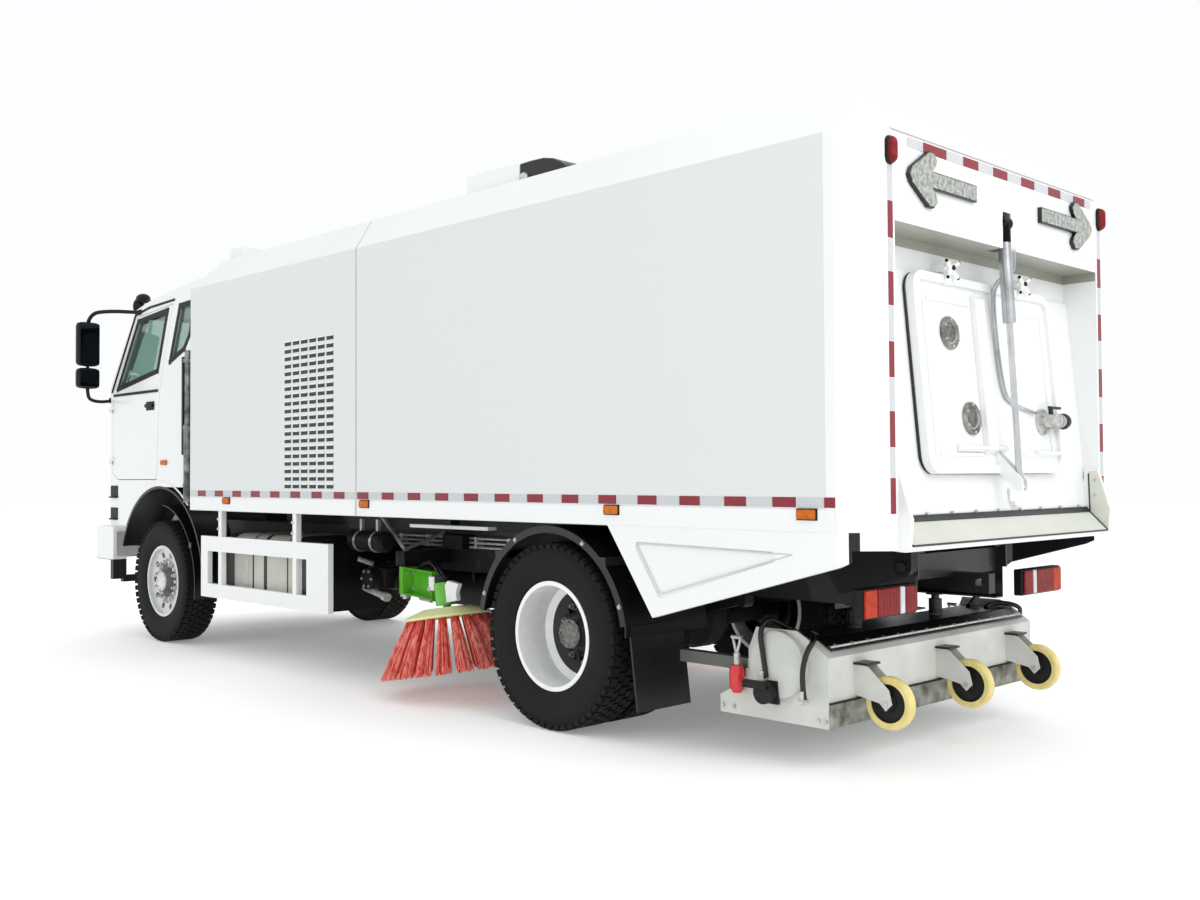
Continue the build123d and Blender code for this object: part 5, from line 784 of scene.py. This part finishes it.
# Rubber cover on the top with its bolted strip
boxes(covers, 1, (-1.545, -0.930, 0.600, -1.290, 0.930, 0.6065))
profile(covers, 1, -0.93, ((-1.560, 0.6005), (-1.635, 0.5595), (-1.638, 0.5650), (-1.563, 0.6060)), 1.86)
for step in range(14):
    y = -0.88 + 1.76 * step / 13
    rods(zincs, 1, (-1.615, y, 0.5745, -1.621, y, 0.5845, 0.009, 6))
boxes(zincs, 1, (-1.625, -0.92, 0.566, -1.600, 0.92, 0.581))
finish_piece("box_motors", blacks, cast_iron, "pickup_box", bevel=0.003)
finish_piece("box_fittings", zincs, zinc_plate, "pickup_box")
finish_piece("box_skirts", skirts, worn_steel, "pickup_box", bevel=0.001)
finish_piece("box_cover", covers, sheet_rubber, "pickup_box")
for side, word in SIDES:
    for number, ((first, first_z), (top, top_z), last) in enumerate((
            ((-1.335, 0.42), (-1.30, 0.70), -1.36), ((-1.555, 0.34), (-1.57, 0.62), -1.47))):
        hose(f"box_hose_{word}_{number}",
             path(side, (first, 1.035, first_z), (first + 0.01, 1.045, first_z + 0.10), (top, 1.04, top_z - 0.06),
                  (top - 0.02, 0.99, top_z), (last, 0.90, 0.64), (last, 0.82, 0.612)),
             0.013, sheet_rubber, "pickup_box")
finish_piece("drum_covers", drums, box_enamel, "pickup_box", bevel=0.002)
finish_piece("lubricators", pots, red_enamel, "pickup_box")
finish_piece("lubricator_valves", valves, zinc_plate, "pickup_box")

# Casters, with the caps and bolts of their forks
CASTERS = (("left", 0.733), ("middle", 0.0), ("right", -0.733))
CASTER_STATION, CASTER_Z = -1.820, 0.320
TREAD = [(-0.024, 0.090), (-0.025, 0.112), (-0.018, 0.122), (0.0, 0.125), (0.018, 0.122), (0.025, 0.112),
         (0.024, 0.090)]
CORE = [(-0.022, 0.0905), (-0.010, 0.080), (-0.010, 0.040), (-0.024, 0.034), (-0.024, 0.0105), (0.024, 0.0105),
        (0.024, 0.034), (0.010, 0.040), (0.010, 0.080), (0.022, 0.0905)]
caps, bolts = bmesh.new(), bmesh.new()
for _, y in CASTERS:
    boxes(caps, 1, (-1.735, y - 0.055, 0.486, -1.645, y + 0.055, 0.497))
    for edge in (1, -1):
        rods(bolts, 1, (CASTER_STATION, y + edge * 0.043, CASTER_Z, CASTER_STATION, y + edge * 0.050, CASTER_Z,
                        0.014, 6))
        for z in (0.365, 0.415, 0.465):
            rods(bolts, 1, (-1.687, y + edge * 0.030, z, -1.693, y + edge * 0.030, z, 0.007, 6))
finish_piece("fork_caps", caps, sheet_rubber, "pickup_box", bevel=0.003)
finish_piece("fork_bolts", bolts, zinc_plate, "pickup_box")
for word, y in CASTERS:
    tread, core = bmesh.new(), bmesh.new()
    hub = at(CASTER_STATION, y, CASTER_Z)
    turned(tread, TREAD, hub, LEFT, 48)
    turned(core, CORE, hub, LEFT, 40)
    finish_piece(f"caster_tread_{word}", tread, cast_urethane, f"caster_{word}", (f"caster_{word}",))
    finish_piece(f"caster_core_{word}", core, cast_iron, f"caster_{word}")


# Side brooms: plate, hub and twenty tufts of flared bristle

BROOM_TILT = math.radians(9.8)
BROOM_AXIS = Vector((math.sin(BROOM_TILT), 0, math.cos(BROOM_TILT)))
BROOM_ACROSS = BROOM_AXIS.orthogonal().normalized()
BROOM_ALONG = BROOM_AXIS.cross(BROOM_ACROSS)
TUFTS, STRANDS = 20, 72
STRAND_RADIUS = 0.0042


def around(turn):
    """A direction square to the broom's axis."""
    return BROOM_ACROSS * math.cos(turn) + BROOM_ALONG * math.sin(turn)


random.seed(7)
for side, word in SIDES:
    centre = at(1.250, side * 0.950, 0.480)
    plate, strands, cores = bmesh.new(), bmesh.new(), bmesh.new()
    turned(plate, [(0.006, 0.030), (0.006, 0.262), (0.010, 0.272), (0.022, 0.275), (0.034, 0.255), (0.066, 0.165),
                   (0.070, 0.150), (0.070, 0.120), (0.060, 0.110), (0.060, 0.030)], centre, BROOM_AXIS, 48)
    finish_piece(f"broom_plate_{word}", plate, broom_plate, f"broom_{word}", (f"broom_{word}",))
    for tuft in range(TUFTS):
        out = around(math.tau * tuft / TUFTS)
        rod(cores, centre + BROOM_AXIS * 0.012 + out * 0.235, centre - BROOM_AXIS * 0.300 + out * 0.385,
            0.024, 10, 0.044)
        for strand in range(STRANDS):
            spread, way = 0.050 * math.sqrt(random.random()), random.random() * math.tau
            length = 1 - 0.06 * random.random()
            flare = around(way) * spread
            start = centre + BROOM_AXIS * 0.010 + out * 0.235 + flare * 0.42
            end = start.lerp(centre - BROOM_AXIS * 0.335 + out * 0.418, length) + flare
            middle = start.lerp(end, 0.5) + BROOM_AXIS * 0.012
            rod(strands, start, middle, STRAND_RADIUS, 4)
            rod(strands, middle, end, STRAND_RADIUS, 4, 0.0032)
    finish_piece(f"broom_tuft_hearts_{word}", cores, tuft_heart, f"broom_{word}")
    finish_piece(f"broom_bristles_{word}", strands, bristle, f"broom_{word}")


# Cab: window rubbers, handles, mouldings, repeaters and gutters

def frame_strip(form, corners, width, proud, out):
    """A flat strip along a closed outline."""
    for first, last in zip(corners, corners[1:] + corners[:1]):
        run = (last - first).normalized()
        across_run = run.cross(out).normalized() * width / 2
        end = run * width / 2
        slab(form, [first - across_run - end, first + across_run - end, last + across_run + end,
                    last - across_run + end], out * proud)


def cab_side(z, grow=0.0):
    """Y of the cab's outer side at a height: upright below the belt, leaning above it."""
    return 1.150 + grow - max(0.0, (z - 2.120) * 0.090 / 0.890)


DOOR_WINDOW = ((4.987, 2.800), (5.560, 2.755), (5.850, 2.170), (5.066, 2.285))
QUARTER_WINDOW = ((4.759, 2.815), (4.500, 2.825), (4.520, 2.560), (4.600, 2.440), (4.840, 2.350))
GUTTER = ((4.870, 2.880), (5.350, 2.862), (5.625, 2.820), (5.965, 2.150))
for side, word in SIDES:
    out = Vector((0, side, 0.1)).normalized()
    for name, corners, body in (("door_window", DOOR_WINDOW, f"door_{word}"),
                                ("quarter_window", QUARTER_WINDOW, "cab")):
        form = bmesh.new()
        frame_strip(form, [at(station, side * cab_side(z), z) for station, z in corners], 0.044, 0.004, out)
        finish_piece(f"{name}_rubber_{word}", form, moulded_trim, body)
    simple_piece(f"door_handle_{word}", moulded_trim, f"door_{word}", side,
                 [(5.09, 1.150, 1.955, 5.25, 1.153, 2.030), (5.10, 1.153, 1.980, 5.24, 1.172, 2.010)], bevel=0.005)
    simple_piece(f"belt_moulding_{word}", moulded_trim, f"door_{word}", side,
                 [(5.02, 1.150, 2.105, 5.925, 1.156, 2.128)])
    simple_piece(f"side_repeater_{word}", amber_lens, "cab", side, [(4.95, 1.150, 1.485, 4.84, 1.164, 1.525)],
                 bevel=0.006)
    form = bmesh.new()
    spots = [at(station, side * cab_side(z, 0.002), z) for station, z in GUTTER]
    bead(form, spots, 0.010, 10)
    for spot in spots[1:]:
        ball(form, spot, 0.010, 10, 6)
    finish_piece(f"door_gutter_{word}", form, moulded_trim, "cab")

# Mirrors: rounded shells, their glass, curved arms, and a blind-spot mirror at the roof
for side, word in SIDES:
    shells, glasses = bmesh.new(), bmesh.new()
    for low, high in ((2.380, 2.770), (2.180, 2.360)):
        boxes(shells, side, (5.970, 1.250, low, 6.070, 1.450, high),
              (5.985, 1.280, low - 0.004, 6.055, 1.420, high + 0.004))
        boxes(glasses, side, (5.9685, 1.266, low + 0.016, 5.971, 1.434, high - 0.016))
    finish_piece(f"mirror_glass_{word}", glasses, mirror_glass, "cab", bevel=0.001)
    finish_piece(f"mirror_shells_{word}", shells, moulded_trim, "cab", ("mirrors",), bevel=0.034)
    hose(f"mirror_arm_top_{word}", path(side, (5.560, 1.072, 2.838), (5.660, 1.130, 2.850), (5.830, 1.250, 2.862),
                                        (5.990, 1.340, 2.850), (6.020, 1.350, 2.760)), 0.017, moulded_trim, "cab")
    hose(f"mirror_arm_low_{word}", path(side, (6.015, 1.130, 2.080), (6.020, 1.200, 2.062), (6.022, 1.310, 2.070),
                                        (6.020, 1.350, 2.110), (6.020, 1.350, 2.190)), 0.015, moulded_trim, "cab")
    simple_piece(f"mirror_feet_{word}", moulded_trim, "cab", side,
                 [(5.520, 1.062, 2.815, 5.600, 1.090, 2.862), (5.985, 1.125, 2.055, 6.045, 1.150, 2.105)],
                 [(6.020, 1.350, 2.350, 6.020, 1.350, 2.390, 0.014, 12)], bevel=0.006)
form = bmesh.new()
ball(form, at(5.700, 0.985, 2.985), 1, 20, 12, (0.075, 0.060, 0.045))
ball(form, at(5.760, 1.000, 2.920), 1, 20, 12, (0.050, 0.050, 0.075))
rods(form, 1, (5.480, 0.960, 2.905, 5.700, 0.985, 2.985, 0.016, 12, 0.026))
finish_piece("front_blind_spot_mirror", form, moulded_trim, "cab")

# Cab front: grille, wipers and the windscreen's rubber
form = bmesh.new()
for z in (1.370, 1.430, 1.490, 1.550):
    station = 6.190 + (z - 1.300) * 0.1429
    boxes(form, 1, (station - 0.004, -0.780, z, station + 0.012, 0.780, z + 0.034))
finish_piece("grille_bars", form, moulded_trim, "cab", bevel=0.005)
SCREEN_RUN = Vector((-0.402, 0, 0.744)).normalized()
SCREEN_OUT = Vector((0.744, 0, 0.402)).normalized()


def on_screen(y, up, proud):
    """A point on the windscreen from its Y and its way up from the belt."""
    return at(6.051, y, 2.120) + SCREEN_RUN * up + SCREEN_OUT * proud


form = bmesh.new()
for y, sweep in ((-0.55, 0.50), (0.10, 0.50), (0.75, 0.22)):
    foot, tip = on_screen(y, 0.035, 0.022), on_screen(y - 0.10, 0.150, 0.030)
    rod(form, on_screen(y, 0.035, 0.0), foot + SCREEN_OUT * 0.006, 0.016, 12)
    rod(form, foot, tip, 0.007, 8)
    rod(form, on_screen(y - 0.10 - sweep / 2, 0.095, 0.022), on_screen(y - 0.10 + sweep / 2, 0.195, 0.022), 0.006, 8)
finish_piece("wipers", form, moulded_trim, "cab")
form = bmesh.new()
frame_strip(form, [on_screen(y, up, 0.0) for y, up in ((-1.020, 0.063), (1.020, 0.063), (0.950, 0.790),
                                                      (-0.950, 0.790))], 0.034, 0.004, SCREEN_OUT)
finish_piece("windscreen_rubber", form, moulded_trim, "cab")


def arch(radius, turns):
    """Stations and heights around the front axle, at turns in degrees."""
    return [(FRONT_AXLE + radius * math.cos(math.radians(turn)), AXLE_Z + radius * math.sin(math.radians(turn)))
            for turn in turns]


for side, word in SIDES:
    simple_piece(f"cab_steps_{word}", moulded_trim, "cab", side,
                 [row for low in (1.005, 1.200) for row in ((5.830, 1.148, low, 5.980, 1.156, low + 0.110),
                                                            (5.835, 1.150, low, 5.975, 1.176, low + 0.014))],
                 bevel=0.004)
    # Dark lining of the wheel arch: a band under its edge and a wall behind the wheel
    turns = range(20, 181, 5)
    form = bmesh.new()
    for inner, outer, start_y, width in ((0.780, 0.796, 0.845, 0.298), (0.650, 0.790, 0.840, 0.006)):
        profile(form, side, start_y, arch(outer, turns) + arch(inner, reversed(turns)), width)
    finish_piece(f"arch_lining_{word}", form, sheet_rubber, "cab")
    # Pressed crease of the arch flare
    form = bmesh.new()
    bead(form, [at(station, side * 1.1505, z) for station, z in arch(0.845, range(70, 131, 6))], 0.007)
    finish_piece(f"arch_crease_{word}", form, white_enamel, "cab")

# Raised edge of the shallow pressing in each skirt; its grey enamel is painted shade along the crease
for side, word in SIDES:
    form = bmesh.new()
    corners = path(side, (-0.690, 1.2492, 1.038), (-0.850, 1.2492, 0.795), (-1.655, 1.2492, 1.022))
    bead(form, corners + corners[:1], 0.0035)
    finish_piece(f"skirt_pressing_edge_{word}", form, grey_enamel, "hopper")

# Pipe and duct up the gap between the cab and the housing
simple_piece("intake_pipe", worn_steel, "chassis", 1,
             [(4.209, 1.196, z + 0.005, 4.345, 1.216, z + 0.025) for z in (1.300, 1.760, 2.300)],
             [(4.345, 1.208, low, 4.345, 1.208, high, radius, 20) for low, high, radius in
              ((1.180, 1.800, 0.032), (1.780, 2.400, 0.024), (1.300, 1.330, 0.036), (1.760, 1.790, 0.036),
               (2.300, 2.330, 0.036))])
simple_piece("gap_duct", sheet_rubber, "chassis", 1,
             [(4.372, 1.120, 1.560, 4.398, 1.238, 2.350), (4.300, 1.120, 1.580, 4.375, 1.135, 2.340)], bevel=0.006)

# Roof fittings: a white inlet box with a black curved hood behind it, and a vent hood on the housing
ROOF_Z = 3.0743
simple_piece("roof_inlet_box", white_enamel, "hopper", 1, [(0.395, 0.330, ROOF_Z, 0.890, 1.080, 3.194)],
             replaced=("hopper_roof",), bevel=0.006)
form = bmesh.new()
profile(form, 1, 0.330, ((0.392, ROOF_Z), (0.392, 3.184), (0.300, 3.186), (0.190, 3.182), (0.110, 3.164),
                         (0.045, 3.132), (0.002, 3.098), (0.0, ROOF_Z)), 0.750)
finish_piece("roof_hood", form, sheet_rubber, "hopper", bevel=0.008, smooth_angle=50)
form = bmesh.new()
ball(form, at(0.345, 1.084, 3.094), 0.030, 16, 10)
finish_piece("roof_hood_knob", form, zinc_plate, "hopper")
form = bmesh.new()
profile(form, 1, 0.520, ((3.900, 3.070), (3.905, 3.098), (3.860, 3.124), (3.780, 3.130), (3.730, 3.112),
                         (3.710, 3.070)), 0.420)
finish_piece("housing_vent_hood", form, sheet_rubber, "chassis", bevel=0.010, smooth_angle=50)


# Undercarriage, broom arms and mudguards: tanks, valve block, pipes, hoses and bolts

RAIL_FACE = 0.4305
UNDERSIDE = 1.0835
for side, word in SIDES:
    out = LEFT * side
    tanks, pipes, clevises, covers = bmesh.new(), bmesh.new(), bmesh.new(), bmesh.new()
    if side > 0:
        vessel(tanks, 1, 2.050, 2.420, 0.880, 0.930, 0.072, 0.018, 0.045)
        for station in (2.123, 2.323):
            rods(pipes, 1, (station, 0.880, 0.930, station + 0.024, 0.880, 0.930, 0.075, 28))
            boxes(pipes, 1, (station, 0.868, 1.000, station + 0.024, 0.892, UNDERSIDE))
    # Valve block beside the outrigger, and its pipes along the rail in their clips
    boxes(tanks, side, (1.640, RAIL_FACE, 0.880, 1.860, 0.540, 0.975))
    for z in (0.895, 0.925, 0.955):
        rods(pipes, side, (0.700, 0.470, z, 1.650, 0.470, z, 0.009, 10), (1.850, 0.470, z, 2.480, 0.470, z, 0.009, 10))
    for station in (0.800, 1.200, 1.550, 2.100, 2.420):
        boxes(pipes, side, (station, RAIL_FACE, 0.885, station + 0.030, 0.482, 0.965))
    # Air receivers under the rails
    for start, end in ((0.780, 1.420), (1.560, 2.300)):
        vessel(tanks, side, start, end, 0.290, 0.590, 0.125, 0.030, 0.070)
        for strap in (start + 0.12, end - 0.12):
            boxes(tanks, side, (strap, 0.360, 0.650, strap + 0.03, 0.400, 0.7205))
    # Water pump on its bracket, its pipes, and the second leg of the stay
    boxes(tanks, side, (2.120, RAIL_FACE, 0.740, 2.380, 0.700, 0.760), (2.140, 0.600, 0.600, 2.360, 0.820, 0.742))
    rods(tanks, side, (2.250, 0.820, 0.670, 2.250, 0.900, 0.670, 0.075, 24),
         (2.100, 0.700, 0.640, 2.420, 0.700, 0.640, 0.055, 24))
    bolt_ring(pipes, at(2.250, side * 0.898, 0.670), UP * 0.058, AHEAD * 0.058, 6, out * 0.010, 0.009)
    rods(pipes, side, (2.330, 0.860, 0.600, 2.050, 0.880, 0.560, 0.022, 16),
         (2.070, 0.880, 0.562, 2.020, 0.884, 0.555, 0.030, 16), (2.380, 0.760, 0.760, 2.420, 0.860, 0.800, 0.018, 12),
         (1.945, 0.800, 0.876, 1.975, 0.436, 0.985, 0.013, 12))
    finish_piece(f"valve_block_{word}", tanks, cast_iron, "chassis", bevel=0.004)
    finish_piece(f"hydraulic_pipes_{word}", pipes, zinc_plate, "chassis")
    # Clevises and adjuster bolts at the arm's pivot
    rods(clevises, side, (1.950, 0.780, 0.560, 1.950, 0.780, 0.580, 0.040, 20),
         (1.950, 0.780, 0.545, 1.950, 0.780, 0.562, 0.026, 6), (1.620, 0.900, 0.578, 1.420, 0.955, 0.578, 0.012, 12),
         (1.520, 0.900, 0.640, 1.440, 0.960, 0.655, 0.014, 12))
    for station in (1.860, 1.560):
        y = 0.780 + (1.950 - station) * 0.2429 - 0.030
        for z in (0.620, 0.725):
            rods(clevises, side, (station, y, z, station, y + 0.012, z, 0.011, 6))
    finish_piece(f"arm_clevises_{word}", clevises, zinc_plate, f"broom_arm_{word}")
    # White shroud and motor cover over the disc
    profile(covers, side, 0.985, ((1.075, 0.610), (1.180, 0.590), (1.200, 0.700), (1.170, 0.728), (1.060, 0.715),
                                  (1.085, 0.660)), 0.035)
    boxes(covers, side, (1.395, 0.885, 0.645, 1.455, 0.955, 0.735))
    finish_piece(f"broom_covers_{word}", covers, white_enamel, f"broom_arm_{word}", bevel=0.004)
    simple_piece(f"broom_motor_{word}", cast_iron, f"broom_arm_{word}", side,
                 [(1.340, 0.890, 0.640, 1.395, 0.950, 0.745), (1.150, 0.930, 0.640, 1.300, 0.990, 0.690)],
                 [(1.292, 0.950, 0.700, 1.300, 0.950, 0.748, 0.045, 20)], bevel=0.003)
    for number, lift in enumerate((0.0, 0.030)):
        hose(f"broom_hose_{word}_{number}",
             path(side, (1.300, 0.950 + lift, 0.745), (1.330, 0.955 + lift, 0.800), (1.480, 0.900 + lift, 0.830),
                  (1.640, 0.850 + lift / 2, 0.800), (1.700, 0.838 + lift / 2, 0.766)),
             0.011, sheet_rubber, f"broom_arm_{word}")
    # Light plate under the body's edge
    simple_piece(f"underbody_plate_{word}", grey_enamel, "hopper", side,
                 [(0.560, 1.120, 1.062, 1.330, 1.190, UNDERSIDE)], bevel=0.003)
    # Mudguard bolts on small square plates
    form = bmesh.new()
    for turn in (20, 62, 118, 160):
        spot = at(0, side * 1.225, AXLE_Z) + Vector((math.cos(math.radians(turn)), 0,
                                                     math.sin(math.radians(turn)))) * 0.580
        rod(form, spot, spot + out * 0.003, 0.015, 4)
        rod(form, spot, spot + out * 0.009, 0.008, 6)
    finish_piece(f"mudguard_bolts_{word}", form, zinc_plate, "chassis")
    # The guard's bolts, and straps round the tanks of the left side
    simple_piece(f"guard_bolts_{word}", zinc_plate, "chassis", side,
                 [(station, 1.120, 0.470, station + 0.045, 1.123, 0.910) for station in (2.730, 3.500) if side > 0],
                 [(station, 1.230, z, station, 1.238, z, 0.010, 6) for station in (2.675, 3.775)
                  for z in (0.985, 1.060)])

# Gate latch, the ledges in the pan, and the pipes beside the cylinder
simple_piece("gate_latch", white_enamel, "hopper", 1,
             [(-1.990, -0.215, 1.235, -1.975, -0.120, 1.300), (-2.010, -0.205, 1.215, -1.975, -0.130, 1.240)],
             bevel=0.003)
form = bmesh.new()
slab(form, [on_gate(0.050, 1.470, 0.0), on_gate(0.050, 2.260, 0.0), on_gate(0.050, 2.240, 0.032),
            on_gate(0.050, 1.490, 0.032)], LEFT * 0.090)
for start_y, end_y, z in ((0.398, -0.070, 1.520), (-0.390, -0.640, 1.500)):
    slab(form, [on_gate(start_y, z, 0.0), on_gate(start_y, z - 0.012, 0.030), on_gate(start_y, z - 0.024, 0.030),
                on_gate(start_y, z - 0.040, 0.0)], LEFT * (end_y - start_y))
finish_piece("gate_ledges", form, white_enamel, "tailgate", bevel=0.003)
for number, y in enumerate((-0.058, -0.080)):
    hose(f"gate_pipe_top_{number}", path(1, (-2.046, y, 2.500), (-2.048, y, 2.450), (-2.046, y, 2.405)), 0.007,
         bright_steel, "hopper")
    hose(f"gate_pipe_{number}", [*path(1, (-2.046, y, 2.405), (-2.042, y, 2.385)), on_gate(y, 2.330, 0.030),
                                 on_gate(y, 2.200, 0.012), on_gate(y - 0.01, 1.800, 0.012),
                                 on_gate(y - 0.10, 1.720, 0.012), on_gate(-0.420, 1.690, 0.012)], 0.007,
         bright_steel, "tailgate")


# Floor and light

floor_form = bmesh.new()
bmesh.ops.create_grid(floor_form, x_segments=1, y_segments=1, size=60)
floor_mesh = bpy.data.meshes.new("floor")
floor_form.to_mesh(floor_mesh)
floor_form.free()
floor = bpy.data.objects.new("floor", floor_mesh)
bpy.context.collection.objects.link(floor)
# Painted studio floor: pale, matt, barely mottled
floor_paint = mottled_finish("studio_floor_paint", None, ("#F4F4F3", "#F8F8F7"), 3.0, 0.01, 0.0001, 0.9,
                             Emission_Color=linear("#F6F6F6"), Emission_Strength=0.22)
floor_mesh.materials.append(floor_paint.material)

world = bpy.data.worlds.new("studio")
world.use_nodes = True
sky = world.node_tree.nodes["Background"].inputs
sky["Color"].default_value = linear("#F7F8FA")
sky["Strength"].default_value = 1.05
bpy.context.scene.world = world
bpy.context.scene.view_settings.view_transform = "Standard"

LIGHT_SIZE = 6.0
for name, spot, energy in (("key", (-10.0, 2.0, 7.0), 260), ("front", (10.0, -6.0, 7.0), 200)):
    data = bpy.data.lights.new(name, "AREA")
    data.energy = energy
    data.size = LIGHT_SIZE
    lamp = bpy.data.objects.new(name, data)
    lamp.location = spot
    lamp.rotation_euler = (Vector((0, 0, 1.2)) - Vector(spot)).to_track_quat("-Z", "Y").to_euler()
    bpy.context.collection.objects.link(lamp)
